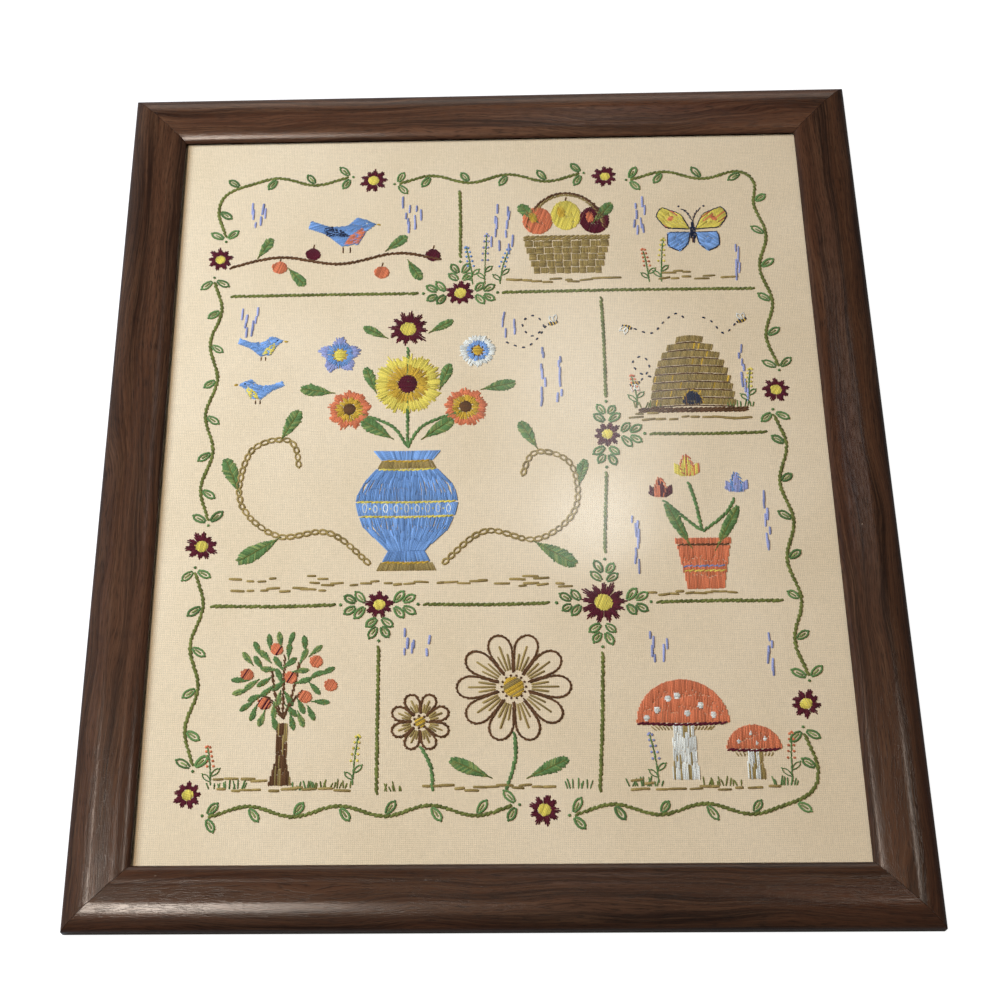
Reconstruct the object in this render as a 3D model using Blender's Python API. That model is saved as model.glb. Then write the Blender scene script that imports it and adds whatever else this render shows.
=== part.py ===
"""A framed crewel embroidery panel, lying on its back.

Four mitred hardwood rails hold a pane of glass, a linen ground worked in wool
and a backing board in their rebate. Lengths in the tables are millimetres,
with x to the right and y towards the top rail. The origin is the centre of
the back.
"""

import math

import bmesh
import bpy
import numpy as np
from mathutils import Vector
from mathutils.geometry import delaunay_2d_cdt

MM = 0.001

# Frame
FRAME_WIDTH = 490.0
FRAME_HEIGHT = 575.0
RAIL_WIDTH = 37.0
REBATE_WIDTH = 6.5
SIDE_HEIGHT = 6.3
RIDGE_HEIGHT = 13.2
RIDGE_FROM_OUTSIDE = 15.0
NOSE_FROM_OUTSIDE = 28.0
NOSE_HEIGHT = 11.9
NOSE_START_DEG = 18.0
LIP_UNDERSIDE = 7.6
MITRE_GAP = 0.3

# Stack in the rebate, from the back
EDGE_CLEARANCE = 0.5
BOARD_BOTTOM = 0.4
BOARD_THICKNESS = 2.4
CLOTH_BOTTOM = 3.1
CLOTH_THICKNESS = 1.2
STITCH_RELIEF = 0.7
GLASS_BOTTOM = 5.4
GLASS_THICKNESS = 1.9

# Embroidered field
VINE_RIGHT = 180.0
VINE_TOP = 219.0
VINE_CORNER = 16.0
VINE_WAVES = 30
VINE_SWING = 3.2
VINE_THREAD = 2.2
LINE_THREAD = 1.8
LEAF_REACH = 22.0

# Waves of the vine that carry a daisy, counted from the middle of the right side
VINE_DAISIES = (
    # wave, radius
    (1, 9.0),
    (6, 8.5),
    (9, 9.5),
    (12, 8.5),
    (16, 10.0),
    (19, 8.5),
    (23, 9.5),
    (27, 9.0),
)

# Lines that divide the field
DIVIDERS = (
    # x1, y1, x2, y2
    (-172, 128, -20, 128),
    (-20, 128, 173, 128),
    (-20, 128, -20, 210),
    (72, 124, 72, 22),
    (72, 22, 65, -92),
    (72, 22, 173, 22),
    (-173, -92, -70, -92),
    (-70, -92, 65, -92),
    (65, -92, 173, -92),
    (-70, -92, -70, -210),
    (65, -92, 58, -210),
)

DAISIES = (
    # x, y, radius
    (-20, 128, 10),
    (72, 22, 9),
    (-70, -92, 9),
    (65, -92, 14),
    (-54, 101, 13),
)

# Flower urn, half widths up from its foot
URN_X = -54.0
URN_PROFILE = (
    # height, half width
    (-70, 18),
    (-65, 16),
    (-60, 8),
    (-54, 13),
    (-42, 26),
    (-26, 32),
    (-12, 29),
    (-2, 19),
    (5, 15),
    (12, 21),
)

BLOOMS = (
    # x, y, radius, lobes, depth of the notches
    (-54, 60, 22, 12, 0.12),
    (-91, 42, 14, 9, 0.14),
    (-17, 43, 14, 9, 0.14),
    (-98, 82, 14, 5, 0.42),
    (-9, 84, 12, 14, 0.10),
    (120, -2, 10, 3, 0.30),
    (103, -17, 9, 3, 0.30),
    (150, -14, 9, 3, 0.30),
)

LEAVES = (
    # x, y, length, width, direction in degrees
    (-74, 28, 24, 10, 145),
    (-34, 28, 24, 10, 35),
    (-78, 64, 20, 8, 110),
    (-30, 66, 20, 8, 70),
    (-113, 56, 22, 9, 170),
    (5, 58, 22, 9, 12),
    (-76, 99, 18, 7, 150),
    (-32, 103, 18, 7, 30),
    (-137, -52, 34, 12, 200),
    (-158, 2, 36, 13, 98),
    (-128, 22, 26, 10, 20),
    (28, -55, 34, 12, -20),
    (51, -8, 36, 13, 82),
    (24, 12, 26, 10, 160),
    (112, -40, 34, 8, 115),
    (143, -42, 34, 8, 62),
    (-150, 166, 18, 8, 60),
    (-128, 142, 18, 8, -50),
    (-62, 168, 18, 8, 40),
    (-50, 146, 18, 8, -60),
    (26, 190, 20, 9, 130),
    (76, 190, 20, 9, 50),
    (-17, -194, 26, 9, 155),
    (30, -194, 26, 9, 25),
)

ROUNDS = (
    # x, y, radius across, radius up
    (-140, 150, 5, 5),
    (-118, 160, 5, 5),
    (-72, 145, 5, 5),
    (-38, 158, 5, 5),
    (32, 184, 10, 11),
    (51, 188, 10, 12),
    (70, 184, 10, 11),
)

# Tall daisies whose petals are outlined only
OPEN_DAISIES = (
    # x, y, radius, petals, foot x, foot y
    (10, -145, 34, 10, 4, -208),
    (-45, -166, 18, 8, -38, -208),
)

# Scrolls, vines and branches, as points for a smooth line
SCROLLS = (
    ((-76, -66), (-102, -44), (-134, -46), (-158, -22), (-152, 14), (-128, 20), (-122, 2)),
    ((-32, -66), (-6, -44), (26, -50), (50, -30), (48, 2), (26, 10), (18, -6)),
    ((-174, 150), (-140, 158), (-100, 152), (-62, 160), (-32, 154)),
    ((-54, 14), (-64, 30), (-89, 40)),
    ((-54, 14), (-54, 38), (-54, 88)),
    ((-54, 14), (-44, 30), (-19, 40)),
    ((127, -46), (124, -26), (120, -10)),
    ((127, -46), (114, -34), (104, -24)),
    ((127, -46), (142, -34), (149, -22)),
)

BIRDS = (
    # x, y, length, facing
    (-99, 175, 46, 1),
    (-150, 88, 30, 1),
    (-148, 56, 30, -1),
)

# Outline of a bird of unit length facing right, its tail at the left
BIRD = ((-0.5, 0.12), (-0.25, 0.02), (0.0, -0.2), (0.25, -0.16), (0.36, 0.06), (0.5, 0.18),
        (0.36, 0.26), (0.22, 0.3), (0.08, 0.16), (-0.16, 0.14), (-0.46, 0.26))

BASKET = {"x": 51.0, "foot": 142.0, "top": 172.0, "half_foot": 22.0, "half_top": 29.0, "handle": 40.0}
SKEP = {"x": 127.0, "foot": 42.0, "height": 52.0, "half_width": 27.0}
POT = {"x": 127.0, "foot": -84.0, "top": -50.0, "half_foot": 11.0, "half_top": 17.0}
TREE = {"x": -126.0, "foot": -204.0, "top": -150.0, "half_foot": 5.0, "half_top": 3.0}
TREE_CROWN = (-126.0, -140.0, 34.0, 11, 0.12)
TOADSTOOLS = (
    # x, foot, stem height, stem half width, cap half width, cap height
    (108, -202, 34, 6, 27, 27),
    (148, -202, 18, 4, 16, 15),
)
BUTTERFLY = {"x": 135.0, "y": 174.0, "half_span": 24.0}

WOOD = ((0.085, 0.045, 0.028), 0.38)
GLASS = ((0.9, 0.95, 0.93), 0.05)
LINEN = ((0.78, 0.70, 0.53), 0.9)
BOARD = ((0.36, 0.24, 0.14), 0.85)


def clear_scene():
    for obj in list(bpy.data.objects):
        bpy.data.objects.remove(obj)


def material(name, colour_and_roughness):
    colour, roughness = colour_and_roughness
    made = bpy.data.materials.new(name)
    made.use_nodes = True
    shader = made.node_tree.nodes["Principled BSDF"]
    shader.inputs["Base Color"].default_value = (*colour, 1.0)
    shader.inputs["Roughness"].default_value = roughness
    shader.inputs["Metallic"].default_value = 0.0
    return made


def add_object(name, bm, finish):
    bmesh.ops.recalc_face_normals(bm, faces=bm.faces)
    mesh = bpy.data.meshes.new(name)
    bm.to_mesh(mesh)
    bm.free()
    mesh.materials.append(finish)
    obj = bpy.data.objects.new(name, mesh)
    bpy.context.scene.collection.objects.link(obj)
    return obj


# Frame rails

def arc(centre, across, up, start_deg, end_deg, steps):
    """Points of an ellipse's arc, its angle measured from the axis across."""
    angles = [math.radians(start_deg + (end_deg - start_deg) * i / steps) for i in range(steps + 1)]
    return [(centre[0] + across * math.cos(a), centre[1] + up * math.sin(a)) for a in angles]


def rail_section():
    """(distance in from the outer side, height) round the moulding, from the back's outer arris."""
    shoulder = arc((RIDGE_FROM_OUTSIDE, SIDE_HEIGHT), RIDGE_FROM_OUTSIDE, RIDGE_HEIGHT - SIDE_HEIGHT, 180, 90, 9)
    drop = NOSE_HEIGHT - LIP_UNDERSIDE
    start = math.radians(NOSE_START_DEG)
    across = (RAIL_WIDTH - NOSE_FROM_OUTSIDE) / (1 - math.sin(start))
    up = drop / math.cos(start)
    nose = arc((RAIL_WIDTH - across, LIP_UNDERSIDE), across, up, 90 - NOSE_START_DEG, 0, 7)
    rebate_wall = RAIL_WIDTH - REBATE_WIDTH
    back = [(rebate_wall, LIP_UNDERSIDE), (rebate_wall, 0.0), (0.0, 0.0)]
    return shoulder + nose + back


def rail(name, length, turn_deg, centre_y, finish):
    """A rail along X with its outer side towards +Y, then turned about the panel's centre."""
    bm = bmesh.new()
    inset = MITRE_GAP / 2 * math.sqrt(2)
    ends = []
    for side in (-1, 1):
        ring = []
        for inward, height in rail_section():
            x = side * (length / 2 - inward - inset)
            ring.append(bm.verts.new((x * MM, (centre_y - inward) * MM, height * MM)))
        ends.append(ring)
    left, right = ends
    count = len(left)
    for i in range(count):
        j = (i + 1) % count
        bm.faces.new((left[i], left[j], right[j], right[i]))
    bm.faces.new(left)
    bm.faces.new(list(reversed(right)))
    obj = add_object(name, bm, finish)
    obj.rotation_euler.z = math.radians(turn_deg)
    obj.data.shade_smooth()
    obj.data.set_sharp_from_angle(angle=math.radians(30))
    return obj


def make_frame():
    wood = material("stained_wood", WOOD)
    half_height, half_width = FRAME_HEIGHT / 2, FRAME_WIDTH / 2
    rail("rail_top", FRAME_WIDTH, 0, half_height, wood)
    rail("rail_left", FRAME_HEIGHT, 90, half_width, wood)
    rail("rail_bottom", FRAME_WIDTH, 180, half_height, wood)
    rail("rail_right", FRAME_HEIGHT, 270, half_width, wood)


# Flat pieces in the rebate

def rebate_half_sizes():
    taken = RAIL_WIDTH - REBATE_WIDTH + EDGE_CLEARANCE
    return FRAME_WIDTH / 2 - taken, FRAME_HEIGHT / 2 - taken


def flat_piece(name, bottom, thickness, finish):
    half_x, half_y = rebate_half_sizes()
    bm = bmesh.new()
    bmesh.ops.create_cube(bm, size=1.0)
    for vert in bm.verts:
        vert.co.x *= 2 * half_x * MM
        vert.co.y *= 2 * half_y * MM
        vert.co.z = (vert.co.z + 0.5) * thickness * MM + bottom * MM
    return add_object(name, bm, finish)


# Outlines of the stitched motifs

def ellipse(x, y, across, up, count=14):
    angles = [2 * math.pi * i / count for i in range(count)]
    return [(x + across * math.cos(a), y + up * math.sin(a)) for a in angles]


def lobed(x, y, radius, lobes, notch, turn_deg=90.0):
    """A round flower, two points for each petal."""
    points = []
    for i in range(2 * lobes):
        angle = math.radians(turn_deg) + math.pi * i / lobes
        reach = radius * (1 - notch * (i % 2))
        points.append((x + reach * math.cos(angle), y + reach * math.sin(angle)))
    return points


def leaf(x, y, length, width, direction_deg):
    """A pointed leaf about its middle."""
    along = Vector((math.cos(math.radians(direction_deg)), math.sin(math.radians(direction_deg))))
    across = Vector((-along.y, along.x))
    sides = ((-0.5, 0.0), (-0.22, 0.44), (0.12, 0.5), (0.5, 0.0), (0.12, -0.5), (-0.22, -0.44))
    return [tuple(Vector((x, y)) + along * (a * length) + across * (b * width)) for a, b in sides]


def smooth(points, steps, closed):
    """A Catmull-Rom line through the points."""
    count = len(points)
    spans = count if closed else count - 1
    result = []
    for i in range(spans):
        picked = [i - 1, i, i + 1, i + 2]
        picked = [p % count for p in picked] if closed else [min(max(p, 0), count - 1) for p in picked]
        a, b, c, d = (Vector(points[p]) for p in picked)
        for step in range(steps):
            t = step / steps
            result.append(tuple(0.5 * (2 * b + (c - a) * t + (2 * a - 5 * b + 4 * c - d) * t * t
                                       + (3 * b - a - 3 * c + d) * t ** 3)))
    if not closed:
        result.append(tuple(points[-1]))
    return result


def ribbon(path, width):
    """A strip of even width along a line."""
    left, right = [], []
    for i, point in enumerate(path):
        before, after = path[max(i - 1, 0)], path[min(i + 1, len(path) - 1)]
        along = (Vector(after) - Vector(before)).normalized()
        across = Vector((-along.y, along.x)) * (width / 2)
        left.append(tuple(Vector(point) + across))
        right.append(tuple(Vector(point) - across))
    return left + right[::-1]


def vine_point(share, offset=0.0):
    """A point on the vine's rounded rectangle, share of the way round from the right side's middle."""
    straight_x, straight_y = VINE_RIGHT - VINE_CORNER, VINE_TOP - VINE_CORNER
    bend = math.pi / 2 * VINE_CORNER
    # each run is its length, start, heading, and whether it bends
    runs = [(straight_y, (VINE_RIGHT, 0.0), 90, False), (bend, (straight_x, straight_y), 0, True),
            (2 * straight_x, (straight_x, VINE_TOP), 180, False), (bend, (-straight_x, straight_y), 90, True),
            (2 * straight_y, (-VINE_RIGHT, straight_y), 270, False), (bend, (-straight_x, -straight_y), 180, True),
            (2 * straight_x, (-straight_x, -VINE_TOP), 0, False), (bend, (straight_x, -straight_y), 270, True),
            (straight_y, (VINE_RIGHT, -straight_y), 90, False)]
    left = (share % 1.0) * sum(run[0] for run in runs)
    for length, start, heading, bends in runs:
        if left <= length:
            break
        left -= length
    if bends:
        turn = math.radians(heading) + left / VINE_CORNER
        reach = VINE_CORNER + offset
        return Vector((start[0] + reach * math.cos(turn), start[1] + reach * math.sin(turn)))
    along = Vector((math.cos(math.radians(heading)), math.sin(math.radians(heading))))
    return Vector(start) + along * left + Vector((along.y, -along.x)) * offset


def waving(share):
    return vine_point(share, VINE_SWING * math.sin(2 * math.pi * VINE_WAVES * share))


def vine_outlines():
    """The waving stem between its daisies, with a leaf on each swing of it."""
    found = []
    starts = [wave for wave, _ in VINE_DAISIES]
    for wave, following in zip(starts, starts[1:] + [starts[0] + VINE_WAVES]):
        gap = 0.32
        steps = round((following - wave - 2 * gap) * 6)
        shares = [(wave + gap + (following - wave - 2 * gap) * i / steps) / VINE_WAVES for i in range(steps + 1)]
        found.append(ribbon([tuple(waving(s)) for s in shares], VINE_THREAD))
        found += [vine_leaf(half / 2 + 0.25, 1 if half % 2 else -1, 1)
                  for half in range(2 * wave + 1, 2 * following - 1)]
        for side in (-1, 1):
            found.append(vine_leaf(wave + 0.3, side, 1))
            found.append(vine_leaf(following - 0.3, side, -1))
    return found


def vine_leaf(wave, side, lean):
    """A leaf on the stem's outer or inner side, leaning on round the vine or back along it."""
    share = wave / VINE_WAVES
    along = (waving(share + 0.001) - waving(share - 0.001)).normalized()
    away = Vector((along.y, -along.x)) * side
    direction = (along * 0.7 * lean + away).normalized()
    middle = waving(share) + direction * 6.0
    return leaf(*middle, 9.0, 4.0, math.degrees(math.atan2(direction.y, direction.x)))


def has_daisy(x, y):
    return any((x, y) == (dx, dy) for dx, dy, _ in DAISIES)


def divider_outlines():
    """The dividing lines, and the pair of leaves beside each daisy on them."""
    found = []
    for x1, y1, x2, y2 in DIVIDERS:
        start, end = Vector((x1, y1)), Vector((x2, y2))
        along = (end - start).normalized()
        direction = math.degrees(math.atan2(along.y, along.x))
        line_start, line_end = start, end
        if has_daisy(x1, y1):
            line_start = start + along * LEAF_REACH
            found += daisy_leaves(start, along, direction)
        if has_daisy(x2, y2):
            line_end = end - along * LEAF_REACH
            found += daisy_leaves(end, -along, direction + 180)
        found.append(ribbon([tuple(line_start), tuple(line_end)], VINE_THREAD))
    return found


def daisy_leaves(centre, along, direction_deg):
    across = Vector((-along.y, along.x))
    return [leaf(*(centre + along * 18 + across * side * 3.4), 9.5, 4.2, direction_deg + side * 28)
            for side in (-1, 1)]


def daisy_outlines():
    on_vine = [(*vine_point(wave / VINE_WAVES), radius) for wave, radius in VINE_DAISIES]
    return [lobed(x, y, radius, 9, 0.2) for x, y, radius in on_vine + list(DAISIES)]


def urn_outline():
    right = [(URN_X + half, height) for height, half in URN_PROFILE]
    left = [(URN_X - half, height) for height, half in reversed(URN_PROFILE)]
    return right + left


def bird_outline(x, y, length, facing):
    return [(x + a * length * facing, y + b * length) for a, b in BIRD]


def tapered(x, foot, top, half_foot, half_top):
    return [(x - half_foot, foot), (x + half_foot, foot), (x + half_top, top), (x - half_top, top)]


def dome(x, foot, half_width, height, count=10):
    angles = [math.pi * i / count for i in range(count + 1)]
    return [(x + half_width * math.cos(a), foot + height * math.sin(a)) for a in angles]


def basket_outlines():
    b = BASKET
    handle = arc((b["x"], b["top"]), b["half_top"] - 2, b["handle"] - 6, 8, 172, 12)
    return [tapered(b["x"], b["foot"], b["top"], b["half_foot"], b["half_top"]), ribbon(handle, LINE_THREAD)]


def butterfly_outlines():
    x, y, span = BUTTERFLY["x"], BUTTERFLY["y"], BUTTERFLY["half_span"]
    wings = []
    for side in (-1, 1):
        wings.append([(x + side * a * span, y + b * span)
                      for a, b in ((0.08, 0.05), (0.3, 0.55), (0.85, 0.8), (1.0, 0.5), (0.75, 0.1))])
        wings.append([(x + side * a * span, y + b * span)
                      for a, b in ((0.08, -0.05), (0.7, -0.05), (0.72, -0.5), (0.4, -0.68), (0.15, -0.45))])
    return wings


def toadstool_outlines():
    found = []
    for x, foot, stem, half_stem, half_cap, cap in TOADSTOOLS:
        found.append(tapered(x, foot, foot + stem, half_stem * 1.3, half_stem))
        found.append(dome(x, foot + stem, half_cap, cap))
    return found


def open_petal(x, y, radius, petals, turn_deg):
    """One petal's outline, as a thread that leaves the flower's eye and comes back to it."""
    along = Vector((math.cos(math.radians(turn_deg)), math.sin(math.radians(turn_deg))))
    across = Vector((-along.y, along.x)) * math.sin(math.pi / petals) * 0.74
    path = ((0.24, -0.28), (0.5, -0.66), (0.76, -0.9), (0.94, -0.6), (1.0, 0.0),
            (0.94, 0.6), (0.76, 0.9), (0.5, 0.66), (0.24, 0.28))
    return [tuple(Vector((x, y)) + (along * a + across * b) * radius) for a, b in path]


def open_daisy_outlines():
    found = []
    for x, y, radius, petals, foot_x, foot_y in OPEN_DAISIES:
        for i in range(petals):
            turn = 90 + 360 * (i + 0.5) / petals
            found.append(ribbon(open_petal(x, y, radius, petals, turn), LINE_THREAD))
        found.append(ellipse(x, y, radius * 0.19, radius * 0.19, 10))
        bend = ((x + foot_x) / 2 + 3, (y - radius * 0.76 + foot_y) / 2)
        found.append(ribbon(smooth([(x, y - radius * 0.76), bend, (foot_x, foot_y)], 4, False), LINE_THREAD))
    return found


def raised_outlines():
    """Every shape that the wool builds up above the linen."""
    found = vine_outlines() + divider_outlines() + daisy_outlines()
    found += [lobed(x, y, radius, lobes, notch) for x, y, radius, lobes, notch in BLOOMS]
    found += [leaf(*row) for row in LEAVES]
    found += [ellipse(x, y, across, up, 10) for x, y, across, up in ROUNDS]
    found += [ribbon(smooth(points, 3, False), LINE_THREAD) for points in SCROLLS]
    found += [bird_outline(*row) for row in BIRDS]
    found.append(urn_outline())
    found.append(dome(SKEP["x"], SKEP["foot"], SKEP["half_width"], SKEP["height"], 14))
    found.append(tapered(POT["x"], POT["foot"], POT["top"], POT["half_foot"], POT["half_top"]))
    found.append(tapered(TREE["x"], TREE["foot"], TREE["top"], TREE["half_foot"], TREE["half_top"]))
    found.append(lobed(*TREE_CROWN))
    return found + basket_outlines() + butterfly_outlines() + toadstool_outlines() + open_daisy_outlines()


# Linen with its worked relief

def triangulated(outlines, corners):
    """The flat cloth cut along every outline, as points and triangles."""
    points, edges = [], []
    for outline in [corners] + outlines:
        first, count = len(points), len(outline)
        points += [Vector(p) for p in outline]
        edges += [(first + i, first + (i + 1) % count) for i in range(count)]
    made = delaunay_2d_cdt(points, edges, [], 0, 1e-3, False)
    return np.array([tuple(p) for p in made[0]]), made[2]


def inside(outline, at):
    """Which of the points in at lie within the outline."""
    x, y = at[:, 0], at[:, 1]
    held = np.zeros(len(at), dtype=bool)
    for (x1, y1), (x2, y2) in zip(outline, outline[1:] + outline[:1]):
        if y1 != y2:
            crosses = (y1 > y) != (y2 > y)
            held ^= crosses & (x < x1 + (y - y1) * (x2 - x1) / (y2 - y1))
    return held


def union(outlines, at):
    held = np.zeros(len(at), dtype=bool)
    for outline in outlines:
        held |= inside(outline, at)
    return held


def directed_edges(triangles, raised):
    return {(t[i], t[(i + 1) % 3]): bool(level) for t, level in zip(triangles, raised) for i in range(3)}


def close_pinches(triangles, raised):
    """Raises the ground at any corner where two raised shapes meet in one point."""
    raised = list(raised)
    for _ in range(12):
        edges = directed_edges(triangles, raised)
        walls = {}
        for (a, b), level in edges.items():
            if level and edges.get((b, a)) is False:
                walls[a] = walls.get(a, 0) + 1
                walls[b] = walls.get(b, 0) + 1
        pinched = {v for v, count in walls.items() if count > 2}
        if not pinched:
            break
        for i, triangle in enumerate(triangles):
            if pinched & set(triangle):
                raised[i] = True
    return raised


def make_cloth():
    half_x, half_y = rebate_half_sizes()
    corners = [(-half_x, -half_y), (half_x, -half_y), (half_x, half_y), (-half_x, half_y)]
    shapes = raised_outlines()
    points, triangles = triangulated(shapes, corners)
    middles = np.array([points[list(t)].mean(axis=0) for t in triangles])
    raised = close_pinches(triangles, union(shapes, middles))
    edges = directed_edges(triangles, raised)
    ground = CLOTH_BOTTOM + CLOTH_THICKNESS
    bm = bmesh.new()
    made = {}

    def vertex(index, height):
        if (index, height) not in made:
            x, y = points[index]
            made[index, height] = bm.verts.new((x * MM, y * MM, height * MM))
        return made[index, height]

    top = ground + STITCH_RELIEF
    for triangle, level in zip(triangles, raised):
        bm.faces.new([vertex(i, top if level else ground) for i in triangle])
    for (a, b), level in edges.items():
        if level and edges.get((b, a)) is False:
            bm.faces.new((vertex(b, top), vertex(a, top), vertex(a, ground), vertex(b, ground)))
    rim = {a: b for a, b in edges if (b, a) not in edges}
    for a, b in rim.items():
        bm.faces.new((vertex(b, ground), vertex(a, ground), vertex(a, CLOTH_BOTTOM), vertex(b, CLOTH_BOTTOM)))
    loop = [next(iter(rim))]
    while rim[loop[-1]] != loop[0]:
        loop.append(rim[loop[-1]])
    bm.faces.new([vertex(i, CLOTH_BOTTOM) for i in reversed(loop)])
    return add_object("embroidered_linen", bm, material("linen", LINEN))


def main():
    clear_scene()
    make_frame()
    flat_piece("backing_board", BOARD_BOTTOM, BOARD_THICKNESS, material("hardboard", BOARD))
    make_cloth()
    flat_piece("glass", GLASS_BOTTOM, GLASS_THICKNESS, material("clear_glass", GLASS))


main()
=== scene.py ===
"""Looks of the framed crewel embroidery panel: moulding, glass, linen and every stitch of wool.

Tables hold millimetres, with x to the right and y towards the top rail.
What is made from them is in metres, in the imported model's frame.
"""

import math

import bpy
import numpy as np
from mathutils import Matrix, Vector, noise


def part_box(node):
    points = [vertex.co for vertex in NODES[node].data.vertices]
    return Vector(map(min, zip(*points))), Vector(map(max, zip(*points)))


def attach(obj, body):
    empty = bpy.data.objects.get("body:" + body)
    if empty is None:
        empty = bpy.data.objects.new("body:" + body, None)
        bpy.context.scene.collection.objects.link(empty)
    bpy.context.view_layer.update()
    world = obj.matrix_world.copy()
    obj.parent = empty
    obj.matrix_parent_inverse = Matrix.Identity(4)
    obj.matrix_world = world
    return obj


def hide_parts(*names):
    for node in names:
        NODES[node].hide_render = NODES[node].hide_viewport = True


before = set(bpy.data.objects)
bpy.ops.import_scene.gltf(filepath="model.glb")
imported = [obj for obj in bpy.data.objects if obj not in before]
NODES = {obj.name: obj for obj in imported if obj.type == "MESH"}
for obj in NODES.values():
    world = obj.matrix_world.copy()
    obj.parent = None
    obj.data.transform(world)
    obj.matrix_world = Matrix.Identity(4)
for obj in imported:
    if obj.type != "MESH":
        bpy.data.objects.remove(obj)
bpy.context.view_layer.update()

MM = 0.001

# Frame
FRAME_WIDTH = 490.0
FRAME_HEIGHT = 575.0
RAIL_WIDTH = 37.0
REBATE_WIDTH = 6.5
SIDE_HEIGHT = 6.3
RIDGE_HEIGHT = 13.2
RIDGE_FROM_OUTSIDE = 15.0
NOSE_FROM_OUTSIDE = 28.0
NOSE_HEIGHT = 11.9
NOSE_START_DEG = 18.0
COVE_START = 24.5
COVE_DEPTH = 0.06
LIP_UNDERSIDE = 7.6
LIP_EDGE = 0.5
ARRIS = 0.5
MITRE_GAP = 0.24
RAIL_STATION = 5.0
RAIL_UNEVENNESS = 0.05
PLANK_STEP = 900.0

# Linen and the room for the wool above it
EDGE_CLEARANCE = 0.5
LINEN_BOTTOM = 3.1
LINEN_TOP = 4.3
LINEN_STEP = 2.5
LINEN_WAVE = 0.05
PUCKER = 0.07
THREAD_PITCH = 1.15
WOOL_HEIGHT = 0.62
SINK = 0.34
SINK_RUN = 0.75
TUBE_SIDES = 6
PLY_TURNS = 620.0

# Embroidered field
VINE_RIGHT = 180.0
VINE_TOP = 219.0
VINE_CORNER = 16.0
VINE_WAVES = 30
VINE_SWING = 3.2
LEAF_REACH = 17.0

# Waves of the vine that carry a daisy, counted from the middle of the right side
VINE_DAISIES = (
    # wave, radius
    (1, 9.0),
    (6, 8.5),
    (9, 9.5),
    (12, 8.5),
    (16, 10.0),
    (19, 8.5),
    (23, 9.5),
    (27, 9.0),
)

# Lines that divide the field
DIVIDERS = (
    # x1, y1, x2, y2
    (-172, 128, -20, 128),
    (-20, 128, 173, 128),
    (-20, 128, -20, 210),
    (72, 124, 72, 22),
    (72, 22, 65, -92),
    (72, 22, 173, 22),
    (-173, -92, -70, -92),
    (-70, -92, 65, -92),
    (65, -92, 173, -92),
    (-70, -92, -70, -210),
    (65, -92, 58, -210),
)

DAISIES = (
    # x, y, radius
    (-20, 128, 10),
    (72, 22, 9),
    (-70, -92, 9),
    (65, -92, 14),
    (-54, 101, 13),
)

# Flower urn, half widths up from its foot
URN_X = -54.0
URN_PROFILE = (
    # height, half width
    (-70, 18),
    (-65, 16),
    (-60, 8),
    (-54, 13),
    (-42, 26),
    (-26, 32),
    (-12, 29),
    (-2, 19),
    (5, 15),
    (12, 21),
)

BLOOMS = (
    # x, y, radius, lobes, notch, petal wool, inner wool, eye wool
    (-54, 60, 22, 12, 0.12, "yellow", "gold", "maroon"),
    (-91, 42, 14, 9, 0.14, "coral", "gold", "brown"),
    (-17, 43, 14, 9, 0.14, "coral", "gold", "brown"),
    (-98, 82, 14, 5, 0.42, "lavender", "blue", "yellow"),
    (-9, 84, 12, 14, 0.10, "white", "pale_blue", "gold"),
)

TULIPS = (
    # x, y, radius, wool, tip wool
    (120, -2, 10, "yellow", "coral"),
    (103, -17, 9, "maroon", "coral"),
    (150, -14, 9, "lavender", "blue"),
)

LEAVES = (
    # x, y, length, width, direction in degrees
    (-74, 28, 24, 10, 145),
    (-34, 28, 24, 10, 35),
    (-78, 64, 20, 8, 110),
    (-30, 66, 20, 8, 70),
    (-113, 56, 22, 9, 170),
    (5, 58, 22, 9, 12),
    (-76, 99, 18, 7, 150),
    (-32, 103, 18, 7, 30),
    (-146, -56, 30, 11, 212),
    (-164, -3, 26, 10, 112),
    (-128, 32, 24, 10, 62),
    (38, -60, 30, 11, -32),
    (55, -4, 19, 8, 76),
    (22, 23, 22, 9, 118),
    (112, -40, 34, 8, 115),
    (143, -42, 34, 8, 62),
    (-150, 166, 18, 8, 60),
    (-128, 142, 18, 8, -50),
    (-62, 168, 18, 8, 40),
    (-50, 146, 18, 8, -60),
    (26, 190, 20, 9, 130),
    (76, 190, 20, 9, 50),
    (-17, -194, 26, 9, 155),
    (30, -194, 26, 9, 25),
)

ROUNDS = (
    # x, y, radius across, radius up, wool, highlight wool
    (-140, 150, 5, 5, "coral", "maroon"),
    (-118, 160, 5, 5, "maroon", "coral"),
    (-72, 145, 5, 5, "coral", "maroon"),
    (-38, 158, 5, 5, "maroon", "coral"),
    (32, 184, 10, 11, "coral", "gold"),
    (51, 188, 10, 12, "yellow", "gold"),
    (70, 184, 10, 11, "maroon", "coral"),
)

# Tall daisies whose petals are outlined only
OPEN_DAISIES = (
    # x, y, radius, petals, foot x, foot y
    (10, -145, 34, 10, 4, -208),
    (-45, -166, 18, 8, -38, -208),
)

# Scrolls, branch and stems, each with its wool
SCROLLS = (
    ("tan", ((-76, -66), (-102, -44), (-134, -46), (-158, -22), (-152, 14), (-128, 20), (-122, 2))),
    ("tan", ((-32, -66), (-6, -44), (26, -50), (50, -30), (48, 2), (26, 10), (18, -6))),
    ("brown", ((-174, 150), (-140, 158), (-100, 152), (-62, 160), (-32, 154))),
    ("leaf", ((-54, 14), (-64, 30), (-89, 40))),
    ("leaf", ((-54, 14), (-54, 38), (-54, 88))),
    ("leaf", ((-54, 14), (-44, 30), (-19, 40))),
    ("leaf", ((127, -46), (124, -26), (120, -10))),
    ("leaf", ((127, -46), (114, -34), (104, -24))),
    ("leaf", ((127, -46), (142, -34), (149, -22))),
)

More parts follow.
